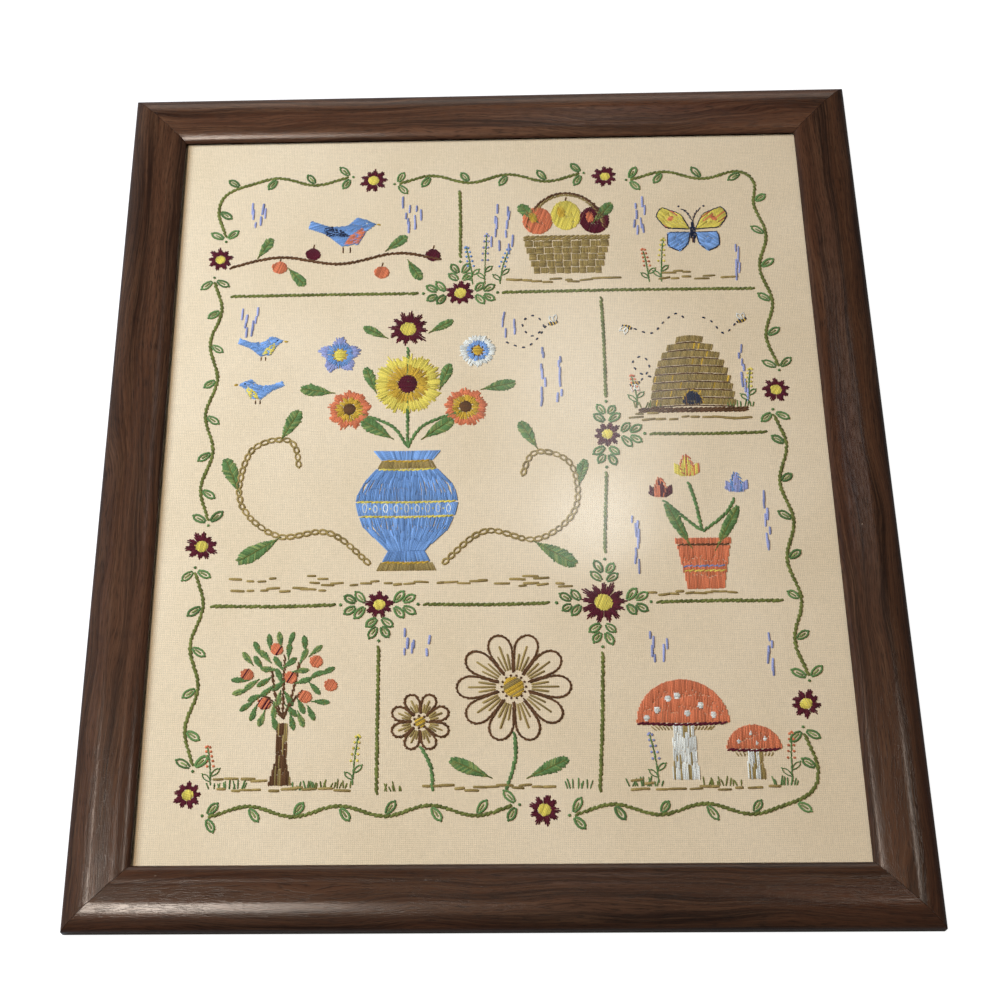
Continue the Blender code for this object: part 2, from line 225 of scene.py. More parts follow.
BIRDS = (
    # x, y, length, facing, body wool, wing wool, breast wool
    (-99, 175, 46, 1, "blue", "navy", "coral"),
    (-150, 88, 30, 1, "pale_blue", "blue", "yellow"),
    (-148, 56, 30, -1, "pale_blue", "blue", "yellow"),
)

# Outline of a bird of unit length facing right, its tail at the left
BIRD = ((-0.5, 0.12), (-0.25, 0.02), (0.0, -0.2), (0.25, -0.16), (0.36, 0.06), (0.5, 0.18),
        (0.36, 0.26), (0.22, 0.3), (0.08, 0.16), (-0.16, 0.14), (-0.46, 0.26))

# Outline of a tulip of unit radius, its middle petal up
TULIP_OUTLINE = ((-0.8, -0.35), (-0.4, -0.62), (0.4, -0.62), (0.8, -0.35), (0.75, 0.35),
                 (0.34, 0.1), (0.0, 1.0), (-0.34, 0.1), (-0.75, 0.35))

BASKET = {"x": 51.0, "foot": 142.0, "top": 172.0, "half_foot": 22.0, "half_top": 29.0, "handle": 40.0}
SKEP = {"x": 127.0, "foot": 42.0, "height": 52.0, "half_width": 27.0, "coils": 9}
POT = {"x": 127.0, "foot": -84.0, "top": -50.0, "half_foot": 11.0, "half_top": 17.0}
TREE = {"x": -126.0, "foot": -204.0, "top": -150.0, "half_foot": 5.0, "half_top": 3.0}
TREE_CROWN = {"x": -126.0, "y": -140.0, "radius": 34.0}
APPLES = ((-148, -136), (-131, -120), (-107, -128), (-137, -154),
          (-113, -150), (-122, -138), (-98, -143))
TOADSTOOLS = (
    # x, foot, stem height, stem half width, cap half width, cap height
    (108, -202, 34, 6, 27, 27),
    (148, -202, 18, 4, 16, 15),
)
BUTTERFLY = {"x": 135.0, "y": 174.0, "half_span": 24.0}

# Bees, each with the loop of running stitches it flies along
BEES = (
    # x, y, heading in degrees, flight path
    (88, 100, 160, ((92, 99), (104, 95), (112, 104), (121, 110), (128, 102))),
    (162, 104, 25, ((158, 102), (150, 94), (142, 104), (133, 108))),
    (91, 58, 200, ((95, 60), (101, 70), (97, 78), (90, 74), (94, 66), (104, 62))),
    (40, 104, 20, ((36, 102), (26, 94), (20, 104), (28, 110), (34, 100), (22, 86), (6, 92))),
)

# Scattered dashes of sky and ground, each a patch of straight stitches
DASHES = (
    # wool, x, y, half width, half height, stitches, direction in degrees
    ("lavender", -52, 190, 8, 13, 9, 88),
    ("lavender", -156, 192, 6, 9, 6, 88),
    ("lavender", 8, 178, 9, 18, 12, 88),
    ("lavender", 100, 186, 5, 14, 8, 88),
    ("lavender", 162, 150, 4, 12, 6, 88),
    ("lavender", -158, 108, 7, 9, 8, 88),
    ("lavender", 38, 66, 9, 22, 13, 88),
    ("lavender", 12, 104, 6, 9, 5, 88),
    ("lavender", 160, 66, 5, 18, 8, 88),
    ("lavender", 86, -52, 5, 18, 8, 88),
    ("lavender", 166, -40, 4, 20, 7, 88),
    ("lavender", 96, -120, 7, 9, 7, 88),
    ("lavender", -48, -116, 10, 8, 7, 88),
    ("lavender", 162, -126, 4, 12, 6, 88),
    ("tan", 50, 137, 40, 3, 12, 1),
    ("tan", 138, 140, 26, 5, 10, 1),
    ("tan", -54, -76, 60, 4, 18, 1),
    ("tan", -130, -78, 30, 6, 12, 1),
    ("tan", 30, -78, 18, 5, 8, 1),
    ("tan", 127, 35, 38, 4, 13, 1),
    ("tan", 127, -86, 34, 2, 10, 1),
    ("tan", -126, -203, 38, 5, 14, 1),
    ("tan", 0, -206, 46, 3, 12, 1),
    ("tan", 118, -205, 42, 4, 15, 1),
)

GRASS = (
    # wool, x, foot, half width, blades
    ("leaf", -156, -206, 10, 12),
    ("stem", -98, -206, 12, 14),
    ("leaf", -112, -207, 7, 8),
    ("leaf", 84, -206, 9, 12),
    ("stem", 128, -206, 10, 12),
    ("leaf", 164, -206, 6, 9),
    ("stem", -60, -208, 5, 7),
    ("leaf", 46, -207, 6, 8),
    ("stem", 98, 40, 8, 9),
    ("leaf", 157, 40, 8, 9),
)

# Small plants of knots on a stem
SPRIGS = (
    # x, foot, height, lean, knot wool
    (-12, 134, 30, -4, "blue"),
    (-4, 134, 40, 2, "lavender"),
    (6, 134, 28, 7, "blue"),
    (104, 134, 26, -3, "coral"),
    (112, 134, 34, 3, "yellow"),
    (92, 42, 22, -3, "coral"),
    (162, 42, 26, 3, "yellow"),
    (-166, -204, 24, -3, "coral"),
    (-84, -204, 30, 3, "yellow"),
    (92, -204, 30, -4, "lavender"),
    (168, -204, 30, 2, "coral"),
)

# Wool and paint colours, as screen red, green and blue
WOOLS = {
    "stem": (116, 120, 60),
    "leaf": (102, 132, 76),
    "pale_leaf": (140, 152, 88),
    "maroon": (92, 30, 42),
    "yellow": (236, 212, 96),
    "gold": (214, 170, 62),
    "blue": (118, 153, 201),
    "pale_blue": (136, 172, 222),
    "lavender": (158, 162, 202),
    "navy": (38, 44, 66),
    "tan": (164, 138, 82),
    "brown": (104, 70, 44),
    "coral": (224, 126, 86),
    "white": (238, 234, 220),
}


def linear(colour):
    """Screen red, green and blue from 0 to 255 as the shader's own linear colour."""
    parts = [c / 255 for c in colour]
    return tuple(c / 12.92 if c <= 0.04045 else ((c + 0.055) / 1.055) ** 2.4 for c in parts) + (1.0,)


# Small geometry on the flat

def arc(centre, across, up, start_deg, end_deg, steps):
    """Points of an ellipse's arc, its angle measured from the axis across."""
    angles = [math.radians(start_deg + (end_deg - start_deg) * i / steps) for i in range(steps + 1)]
    return [(centre[0] + across * math.cos(a), centre[1] + up * math.sin(a)) for a in angles]


def all_round(centre, across, up, steps):
    """Points all the way round an ellipse, none of them twice."""
    return arc(centre, across, up, 0, 360, steps)[:-1]


def pairs(xs, ys):
    """Points in rows, where either coordinate may be one number for all."""
    return np.stack(np.broadcast_arrays(xs, ys), axis=1)


def smooth(points, steps):
    """A Catmull-Rom line through the points."""
    last = len(points) - 1
    result = []
    for i in range(last):
        a, b, c, d = (np.array(points[min(max(p, 0), last)], float) for p in (i - 1, i, i + 1, i + 2))
        for step in range(steps):
            t = step / steps
            result.append(0.5 * (2 * b + (c - a) * t + (2 * a - 5 * b + 4 * c - d) * t * t
                                 + (3 * b - a - 3 * c + d) * t ** 3))
    result.append(np.array(points[-1], float))
    return np.array(result)


def heading(direction_deg):
    turn = math.radians(direction_deg)
    return np.array((math.cos(turn), math.sin(turn)))


def left_of(vectors):
    """The same vectors turned a quarter to the left."""
    vectors = np.asarray(vectors, float)
    return np.stack((-vectors[..., 1], vectors[..., 0]), axis=-1)


def lobe_reach(radius, lobes, notch, angles, turn_deg=90.0):
    """The edge of a lobed flower at each angle."""
    phase = (angles - math.radians(turn_deg)) * lobes / (2 * math.pi)
    along = np.abs(((phase + 0.5) % 1.0) - 0.5) * 2
    return radius * (1 - notch * along ** 1.6)


def leaf_outline(x, y, length, width, direction_deg):
    """A pointed leaf about its middle."""
    along = heading(direction_deg)
    sides = ((-0.5, 0.0), (-0.22, 0.44), (0.12, 0.5), (0.5, 0.0), (0.12, -0.5), (-0.22, -0.44))
    return [np.array((x, y)) + along * (a * length) + left_of(along) * (b * width) for a, b in sides]


class Course:
    """A line that is measured along its length."""

    def __init__(self, points):
        self.points = np.asarray(points, float)
        steps = np.linalg.norm(np.diff(self.points, axis=0), axis=1)
        self.reached = np.concatenate(([0.0], np.cumsum(steps)))
        self.length = self.reached[-1]

    def at(self, distance):
        distance = np.clip(distance, 0.0, self.length)
        return np.stack([np.interp(distance, self.reached, self.points[:, i]) for i in (0, 1)], axis=-1)

    def along(self, distance):
        step = self.at(np.asarray(distance) + 0.4) - self.at(np.asarray(distance) - 0.4)
        return step / np.maximum(np.linalg.norm(step, axis=-1, keepdims=True), 1e-9)


# Stitches

class Needle:
    """Lays stitches and keeps every wool's threads until their mesh is made."""

    def __init__(self, seed):
        self.random = np.random.default_rng(seed)
        self.threads = {name: [] for name in WOOLS}

    def lay(self, wool, points, profile, width, lift):
        """points is (stitches, stations, 2). The profile is 0 through the linen and 1 on top of it."""
        points = np.asarray(points, float)
        count = len(points)
        profile = np.broadcast_to(np.asarray(profile, float), points.shape[:2])
        widths = width * np.clip(self.random.normal(1.0, 0.09, count), 0.75, 1.3)
        half_width = 0.5 * widths[:, None] * (0.42 + 0.58 * profile)
        stand = WOOL_HEIGHT * min(1.0, 0.5 + 0.4 * width)
        half_height = 0.5 * stand * (0.55 + 0.45 * profile)
        lifts = lift + self.random.uniform(0.0, 0.05, count)
        height = profile * (0.5 * stand + lifts[:, None]) - (1 - profile) * SINK
        shade = self.random.uniform(0.0, 1.0, count)
        centres = np.concatenate((points, height[..., None]), axis=2)
        self.threads[wool].append((centres, half_width, half_height, shade))

    def straight(self, wool, starts, ends, width=1.05, lift=0.0, bow=0.0):
        starts = np.asarray(starts, float).reshape(-1, 2)
        ends = np.asarray(ends, float).reshape(-1, 2)
        span = ends - starts
        length = np.maximum(np.linalg.norm(span, axis=1), 1e-6)
        run = np.minimum(0.28, SINK_RUN / length)
        half = np.full_like(run, 0.5)
        share = np.stack((np.zeros_like(run), run, half, 1 - run, np.ones_like(run)), axis=1)
        across = left_of(span) / length[:, None]
        bows = bow + self.random.normal(0.0, 0.08, len(starts))
        points = starts[:, None] + span[:, None] * share[..., None]
        points = points + across[:, None] * (4 * share * (1 - share) * bows[:, None])[..., None]
        self.lay(wool, points, (0, 0.86, 1, 0.86, 0), width, lift)

    def mixed(self, wools, starts, ends, **settings):
        """The same stitches shared out at random between wools, each given with its share."""
        names = [name for name, _ in wools]
        shares = np.array([share for _, share in wools], float)
        picked = self.random.choice(len(names), size=len(starts), p=shares / shares.sum())
        for i, name in enumerate(names):
            if (picked == i).any():
                self.straight(name, starts[picked == i], ends[picked == i], **settings)

    def stem(self, wool, points, width=1.95, step=3.0, reach=5.0, slant=0.78, lift=0.0):
        """Stem stitch: each stitch starts half-way along the last one, on its other side."""
        course = Course(points)
        if course.length < reach:
            self.straight(wool, [points[0]], [points[-1]], width, lift)
            return
        begins = np.arange(0.0, course.length - reach * 0.75, step)
        begins = begins + self.random.normal(0.0, 0.15, len(begins))
        ends = np.minimum(begins + reach + self.random.normal(0.0, 0.25, len(begins)), course.length)
        starts = course.at(begins) - left_of(course.along(begins)) * slant
        stops = course.at(ends) + left_of(course.along(ends)) * slant
        self.straight(wool, starts, stops, width, lift)

    def running(self, wool, points, dash=2.7, gap=2.9, width=1.25):
        course = Course(points)
        begins = np.arange(0.0, course.length - dash, dash + gap)
        self.straight(wool, course.at(begins), course.at(begins + dash), width)

    def loops(self, wool, feet, directions_deg, length, width, thread=1.2, lift=0.0):
        """Lazy daisy loops: out and back to the foot, with a small stitch that holds the tip."""
        feet = np.asarray(feet, float).reshape(-1, 2)
        turns = np.radians(np.asarray(directions_deg, float).reshape(-1))
        along = np.stack((np.cos(turns), np.sin(turns)), axis=1)
        across = left_of(along)
        path = ((0.0, -0.06), (0.1, -0.16), (0.36, -0.43), (0.66, -0.5), (0.88, -0.34), (1.0, 0.0),
                (0.88, 0.34), (0.66, 0.5), (0.36, 0.43), (0.1, 0.16), (0.0, 0.06))
        lengths = length * self.random.normal(1.0, 0.06, len(feet))
        points = np.stack([feet + along * (a * lengths)[:, None] + across * (b * width)
                           for a, b in path], axis=1)
        self.lay(wool, points, (0, 1, 1, 1, 1, 1, 1, 1, 1, 1, 0), thread, lift)
        tips = feet + along * (lengths - 0.4)[:, None]
        self.straight(wool, tips, tips + along * 1.6, thread, lift + 0.1)

    def chain(self, wool, points, link=4.2, width=2.3, thread=0.9):
        course = Course(points)
        begins = np.arange(0.0, course.length - link * 0.6, link)
        along = course.along(begins + link / 2)
        turns = np.degrees(np.arctan2(along[:, 1], along[:, 0]))
        feet = course.at(begins)
        self.loops(wool, feet, turns, link * 1.08, width, thread)

    def knots(self, wool, places, size=1.9, lift=0.0):
        """French knots: a short coil that winds in to its middle."""
        places = np.asarray(places, float).reshape(-1, 2)
        start = self.random.uniform(0, 2 * math.pi, len(places))
        stations = np.linspace(0.0, 1.0, 11)
        angles = start[:, None] + stations[None] * 4.1 * math.pi
        radius = size * (0.36 - 0.26 * stations)
        points = (places[:, None]
                  + np.stack((np.cos(angles), np.sin(angles)), axis=2) * radius[None, :, None])
        profile = np.array((0.0, 0.9, 1.0, 1.0, 1.0, 1.0, 1.05, 1.1, 1.15, 1.15, 0.5))
        self.lay(wool, points, profile, size * 0.42, lift)

    def fill(self, wools, outline, angle_deg, pitch=0.92, reach=9.0, width=1.12, lift=0.0, ragged=0.25):
        """Long and short stitch over an outline, all at one angle."""
        corners = np.array([tuple(p) for p in outline], float)
        along = heading(angle_deg)
        across = left_of(along)
        u, v = corners @ along, corners @ across
        starts, ends = [], []
        for row in np.arange(v.min() + pitch * 0.5, v.max(), pitch):
            cuts = []
            for i in range(len(corners)):
                j = (i + 1) % len(corners)
                if (v[i] > row) != (v[j] > row):
                    cuts.append(u[i] + (row - v[i]) * (u[j] - u[i]) / (v[j] - v[i]))
            cuts.sort()
            for low, high in zip(cuts[::2], cuts[1::2]):
                for a, b in self.pieces(low, high, reach, ragged):
                    starts.append(along * a + across * row)
                    ends.append(along * b + across * row)
        if starts:
            self.mixed(wools, np.array(starts), np.array(ends), width=width, lift=lift)

    def pieces(self, low, high, reach, ragged):
        """One row's span as stitches of about the given reach, with uneven ends."""
        length = high - low
        if length < 1.0:
            return []
        count = max(1, round(length / reach))
        cuts = np.linspace(low, high, count + 1)
        cuts[1:-1] += self.random.uniform(-0.42, 0.42, count - 1) * reach * 0.8
        cuts[0] -= self.random.uniform(-ragged, ragged)
        cuts[-1] += self.random.uniform(-ragged, ragged)
        cuts.sort()
        return [(a - 0.2, b + 0.2) for a, b in zip(cuts[:-1], cuts[1:]) if b - a > 0.8]

    def rays(self, wool, centre, inner, outer, count, width=1.15, lift=0.0, jitter=0.05):
        """Straight stitches outwards; outer is a reach or a function of the angles."""
        angles = (np.arange(count) + self.random.uniform(-0.2, 0.2, count)) * 2 * math.pi / count
        reach = outer(angles) if callable(outer) else np.full(count, float(outer))
        reach = reach * self.random.normal(1.0, jitter, count)
        out = np.stack((np.cos(angles), np.sin(angles)), axis=1)
        near = inner * self.random.normal(1.0, jitter * 1.6, count)
        self.straight(wool, np.array(centre) + out * near[:, None],
                      np.array(centre) + out * reach[:, None],
                      width, lift)

    def scatter(self, middle, half_width, half_height, count):
        """Places spread evenly over a box, with a little disorder."""
        columns = max(1, round(math.sqrt(count * half_width / max(half_height, 1e-6))))
        rows = max(1, math.ceil(count / columns))
        spots = [((c + 0.5) / columns * 2 - 1, (r + 0.5) / rows * 2 - 1)
                 for r in range(rows) for c in range(columns)]
        spots = np.array(spots[:count])
        spots = spots + self.random.uniform(-0.6, 0.6, spots.shape) / (columns, rows)
        return np.array(middle) + spots * (half_width, half_height)


# Motifs

def fishbone(needle, x, y, length, width, direction_deg, wools, vein="stem", pitch=1.0):
    """A leaf of slanting stitches that meet on its midrib."""
    along = heading(direction_deg)
    across = left_of(along)
    count = max(4, round(length / pitch))
    place = np.linspace(-0.46, 0.4, count)
    margin = width / 2 * np.sin(np.pi * np.clip(place + 0.5, 0.02, 0.98)) ** 0.75
    starts, ends = [], []
    for side in (-1, 1):
        reach = margin * needle.random.normal(1.0, 0.06, count)
        root = np.array((x, y)) + along * (place * length)[:, None] - across * side * 0.25
        tip = root + along * (reach * 0.75)[:, None] + across * (side * reach)[:, None]
        starts.append(root)
        ends.append(tip)
    needle.mixed(wools, np.concatenate(starts), np.concatenate(ends), width=1.2)
    ends_of_vein = [np.array((x, y)) + along * length * s for s in (-0.6, 0.42)]
    needle.stem(vein, ends_of_vein, width=0.8, reach=5.2, slant=0.15, lift=0.2)


def small_leaf(needle, x, y, length, width, direction_deg):
    """A lazy daisy leaf, its middle filled with one paler stitch."""
    foot = np.array((x, y)) - heading(direction_deg) * length / 2
    needle.loops("leaf", [foot], [direction_deg], length, width, 1.55)
    middle = heading(direction_deg) * length * 0.36
    needle.straight("pale_leaf", [np.array((x, y)) - middle * 0.8],
                    [np.array((x, y)) + middle * 0.8], 1.2)


def daisy(needle, x, y, radius):
    """Clumps of maroon stitches round a yellow eye."""
    clumps = max(9, round(radius * 0.95))
    rays_each = 5
    shape = np.array((0.74, 0.93, 1.02, 0.95, 0.76))
    turn = needle.random.uniform(0, 2 * math.pi)
    angles, reach = [], []
    for clump in range(clumps):
        middle = turn + 2 * math.pi * (clump + needle.random.uniform(-0.1, 0.1)) / clumps
        size = needle.random.normal(1.0, 0.05)
        for ray in range(rays_each):
            angles.append(middle + (ray - 2) * 2 * math.pi / clumps * 0.19)
            reach.append(radius * shape[ray] * size)
    angles, reach = np.array(angles), np.array(reach) * needle.random.normal(1.0, 0.03, len(reach))
    out = np.stack((np.cos(angles), np.sin(angles)), axis=1)
    near = radius * 0.36 * needle.random.uniform(0.85, 1.1, len(angles))
    centre = np.array((x, y))
    needle.straight("maroon", centre + out * near[:, None], centre + out * reach[:, None], 1.1)
    eye = all_round((x, y), radius * 0.4, radius * 0.4, 14)
    needle.fill((("yellow", 1.0),), eye, needle.random.uniform(60, 120),
                width=1.15, lift=0.14, ragged=0.4)


def vine_point(share, offset=0.0):
    """A point on the vine's rounded rectangle, share of the way round from the right side's middle."""
    straight_x, straight_y = VINE_RIGHT - VINE_CORNER, VINE_TOP - VINE_CORNER
    bend = math.pi / 2 * VINE_CORNER
    # each run is its length, start, heading, and whether it bends
    runs = [(straight_y, (VINE_RIGHT, 0.0), 90, False), (bend, (straight_x, straight_y), 0, True),
            (2 * straight_x, (straight_x, VINE_TOP), 180, False),
            (bend, (-straight_x, straight_y), 90, True),
            (2 * straight_y, (-VINE_RIGHT, straight_y), 270, False),
            (bend, (-straight_x, -straight_y), 180, True),
            (2 * straight_x, (-straight_x, -VINE_TOP), 0, False),
            (bend, (straight_x, -straight_y), 270, True),
            (straight_y, (VINE_RIGHT, -straight_y), 90, False)]
    left = (share % 1.0) * sum(run[0] for run in runs)
    for length, start, direction_deg, bends in runs:
        if left <= length:
            break
        left -= length
    if bends:
        turn = math.radians(direction_deg) + left / VINE_CORNER
        reach = VINE_CORNER + offset
        return np.array((start[0] + reach * math.cos(turn), start[1] + reach * math.sin(turn)))
    along = heading(direction_deg)
    return np.array(start) + along * left - left_of(along) * offset


def waving(share):
    return vine_point(share, VINE_SWING * math.sin(2 * math.pi * VINE_WAVES * share))


def vine_leaf(needle, wave, side, lean):
    share = wave / VINE_WAVES
    along = waving(share + 0.001) - waving(share - 0.001)
    along = along / np.linalg.norm(along)
    direction = along * 0.7 * lean - left_of(along) * side
    direction = direction / np.linalg.norm(direction)
    middle = waving(share) + direction * 6.0
    small_leaf(needle, *middle, 9.0, 4.0, math.degrees(math.atan2(direction[1], direction[0])))


def work_vine(needle):
    starts = [wave for wave, _ in VINE_DAISIES]
    gap = 0.32
    for wave, following in zip(starts, starts[1:] + [starts[0] + VINE_WAVES]):
        shares = np.linspace(wave + gap, following - gap, round((following - wave) * 24)) / VINE_WAVES
        needle.stem("stem", [waving(s) for s in shares])
        for half in range(2 * wave + 1, 2 * following - 1):
            vine_leaf(needle, half / 2 + 0.25, 1 if half % 2 else -1, 1)
        for side in (-1, 1):
            vine_leaf(needle, wave + 0.3, side, 1)
            vine_leaf(needle, following - 0.3, side, -1)
        for end in (wave + 0.27, following - 0.27):
            needle.knots("leaf", [waving(end / VINE_WAVES)], 2.2)
    for wave, radius in VINE_DAISIES:
        daisy(needle, *vine_point(wave / VINE_WAVES), radius)


def daisy_leaves(needle, centre, along, direction_deg, radius):
    """Two pairs of leaves that spread from a daisy along a line."""
    for reach, out, length, spread in ((radius + 2.5, 4.6, 8.5, 52), (radius + 8.5, 3.4, 8.0, 32)):
        for side in (-1, 1):
            middle = centre + along * reach + left_of(along) * side * out
            small_leaf(needle, *middle, length, 4.2, direction_deg + side * spread)


def work_dividers(needle):
    radii = {(x, y): radius for x, y, radius in DAISIES}
    for x1, y1, x2, y2 in DIVIDERS:
        start, end = np.array((x1, y1), float), np.array((x2, y2), float)
        along = (end - start) / np.linalg.norm(end - start)
        direction_deg = math.degrees(math.atan2(along[1], along[0]))
        line_start, line_end = start, end
        if (x1, y1) in radii:
            reach = radii[x1, y1] + LEAF_REACH
            line_start = start + along * reach
            daisy_leaves(needle, start, along, direction_deg, radii[x1, y1])
            needle.knots("leaf", [start + along * (reach - 2.6)], 2.5)
        if (x2, y2) in radii:
            reach = radii[x2, y2] + LEAF_REACH
            line_end = end - along * reach
            daisy_leaves(needle, end, -along, direction_deg + 180, radii[x2, y2])
            needle.knots("leaf", [end - along * (reach - 2.6)], 2.5)
        middle = (line_start + line_end) / 2 + left_of(along) * needle.random.uniform(-0.8, 0.8)
        needle.stem("stem", smooth([line_start, middle, line_end], 24))
    for x, y, radius in DAISIES:
        daisy(needle, x, y, radius)


def urn_half_width(height):
    heights = [h for h, _ in URN_PROFILE]
    halves = [w for _, w in URN_PROFILE]
    return np.interp(height, heights, halves)


def urn_band(needle, low, high, wools, reach=8.5):
    """A band of upright stitches that follow the urn's swelling sides, each row meeting the next."""
    rows = max(1, round((high - low) / reach))
    widest = max(float(urn_half_width(h)) for h in np.linspace(low, high, 9))
    count = round(2 * widest / 1.0)
    place = np.linspace(-1, 1, count)
    joins = np.linspace(low, high, rows + 1)[:, None] + np.zeros((1, count))
    joins[1:-1] += needle.random.uniform(-0.36, 0.36, (rows - 1, count)) * reach
    for bottom, top in zip(joins[:-1], joins[1:]):
        starts = np.stack((URN_X + place * urn_half_width(bottom), bottom - 0.35), axis=1)
        ends = np.stack((URN_X + place * urn_half_width(top), top + 0.35), axis=1)
        needle.mixed(wools, starts, ends, width=1.15)


def work_urn(needle):
    blues = (("blue", 0.85), ("pale_blue", 0.15))
    urn_band(needle, -70, -64.5, (("tan", 1.0),), 6)
    urn_band(needle, -64, -57, blues, 7)
    urn_band(needle, -57, -34, blues)
    urn_band(needle, -33, -24, (("pale_blue", 1.0),), 9)
    urn_band(needle, -23, -1, blues)
    urn_band(needle, -0.5, 5, (("tan", 1.0),), 6)
    urn_band(needle, 5.5, 12, (("pale_blue", 0.55), ("blue", 0.45)), 7)
    for height, wool in ((-33.5, "yellow"), (-23.5, "yellow"), (-1.0, "yellow"),
                         (5.0, "gold"), (-64.4, "gold")):
        half = float(urn_half_width(height))
        needle.stem(wool, [(URN_X - half, height), (URN_X, height - 0.8), (URN_X + half, height)],
                    width=1.1, lift=0.14)
    across = np.linspace(-26, 26, 9)
    for x in across:
        needle.loops("white", [(URN_X + x, -31.6)], [90], 6.0, 2.6, 0.8, lift=0.12)
    needle.knots("yellow", [(URN_X + x, -28.4) for x in across[:-1] + 3.25], 1.7, lift=0.12)


def work_bloom(needle, x, y, radius, lobes, notch, petal, inner, eye):
    around = 2 * math.pi * radius
    needle.rays(petal, (x, y), radius * 0.55, lambda a: lobe_reach(radius, lobes, notch, a), round(around))
    needle.rays(inner, (x, y), radius * 0.28, radius * 0.66, round(around * 0.5 / 1.05),
                lift=0.06, jitter=0.08)
    needle.fill(((eye, 1.0),), all_round((x, y), radius * 0.3, radius * 0.3, 16), 0, lift=0.12)
    ring = np.array(all_round((x, y), radius * 0.33, radius * 0.33, max(7, round(radius * 0.75))))
    needle.knots("gold" if eye != "gold" else "brown", ring, 1.7, lift=0.16)


def work_tulip(needle, x, y, radius, wool, tip):
    outline = [(x + radius * over, y + radius * up) for over, up in TULIP_OUTLINE]
    needle.fill(((wool, 0.85), (tip, 0.15)), outline, 90, reach=8)
    for side in (-1, 1):
        edge = [(x + side * radius * 0.1, y - radius * 0.6), (x + side * radius * 0.42, y),
                (x + side * radius * 0.05, y + radius * 0.95)]
        needle.stem(tip, smooth(edge, 5), width=0.9, reach=4.2, lift=0.14)


def work_bird(needle, x, y, length, facing, body, wing, breast):
    outline = [(x + a * length * facing, y + b * length) for a, b in BIRD]
    slope = 18 if facing > 0 else 162
    other = "pale_blue" if body == "blue" else "blue"
    needle.fill(((body, 0.86), (other, 0.14)), outline, slope, reach=length * 0.2)
    front = [(x + a * length * facing, y + b * length)
             for a, b in ((0.02, -0.18), (0.25, -0.15), (0.35, 0.05), (0.3, 0.12), (0.1, -0.02))]
    needle.fill(((breast, 1.0),), front, slope, reach=length * 0.16, lift=0.1)
    fishbone(needle, x - 0.08 * length * facing, y + 0.04 * length, length * 0.42, length * 0.2,
             180 - slope, ((wing, 0.9), (body, 0.1)), vein=wing)
    head = np.array((x + 0.36 * length * facing, y + 0.19 * length))
    needle.knots("navy" if wing != "navy" else "white", [head], 1.6, lift=0.2)
    beak = np.array((x + 0.5 * length * facing, y + 0.18 * length))
    needle.straight("gold", [beak, beak + (0, -0.5)],
                    [beak + (3.2 * facing, -0.6), beak + (3.0 * facing, -0.9)], 0.9)
    foot_y = y - 0.2 * length
    for step in (0.0, 0.1):
        top = np.array((x + (0.02 + step) * length * facing, foot_y))
        needle.straight("brown", [top], [top - (0.0, length * 0.12)], 0.8)


def work_basket(needle):
    """Blocks of six upright or five level stitches, in turn."""
    b = BASKET
    rows, columns = 5, 9
    for row in range(rows):
        low = b["foot"] + (b["top"] - b["foot"] - 4) * row / rows
        high = b["foot"] + (b["top"] - b["foot"] - 4) * (row + 1) / rows
        half = b["half_foot"] + (b["half_top"] - b["half_foot"]) * (row + 0.5) / rows
        edges = np.linspace(b["x"] - half, b["x"] + half, columns + 1)
        for column, (left, right) in enumerate(zip(edges[:-1], edges[1:])):
            if (row + column) % 2:
                xs = np.linspace(left + 0.5, right - 0.5, 6)
                needle.straight("tan", pairs(xs, low), pairs(xs, high), 1.15)
            else:
                ys = np.linspace(low + 0.5, high - 0.5, 5)
                needle.straight("tan", pairs(left, ys), pairs(right, ys), 1.15)
    rim = [(b["x"] - b["half_top"], b["top"] - 1), (b["x"] + b["half_top"], b["top"] - 1)]
    for drop in (0.0, 1.8):
        needle.stem("tan", [(x, y - drop) for x, y in rim], width=1.5)
    handle = arc((b["x"], b["top"]), b["half_top"] - 2, b["handle"] - 6, 8, 172, 24)
    needle.stem("brown", handle, width=1.4)
    needle.stem("tan", arc((b["x"], b["top"]), b["half_top"] - 3.6, b["handle"] - 7.6, 8, 172, 24),
                width=1.1)


def work_round(needle, x, y, across, up, wool, light):
    needle.fill(((wool, 1.0),), all_round((x, y), across, up, 20), 70, reach=11)
    if across > 7:
        shine = all_round((x - across * 0.3, y + up * 0.2), across * 0.28, up * 0.45, 10)
        needle.fill(((light, 1.0),), shine, 70, lift=0.1)
    needle.straight("brown", [(x, y + up - 0.5)], [(x + 0.8, y + up + 3.2)], 0.9)


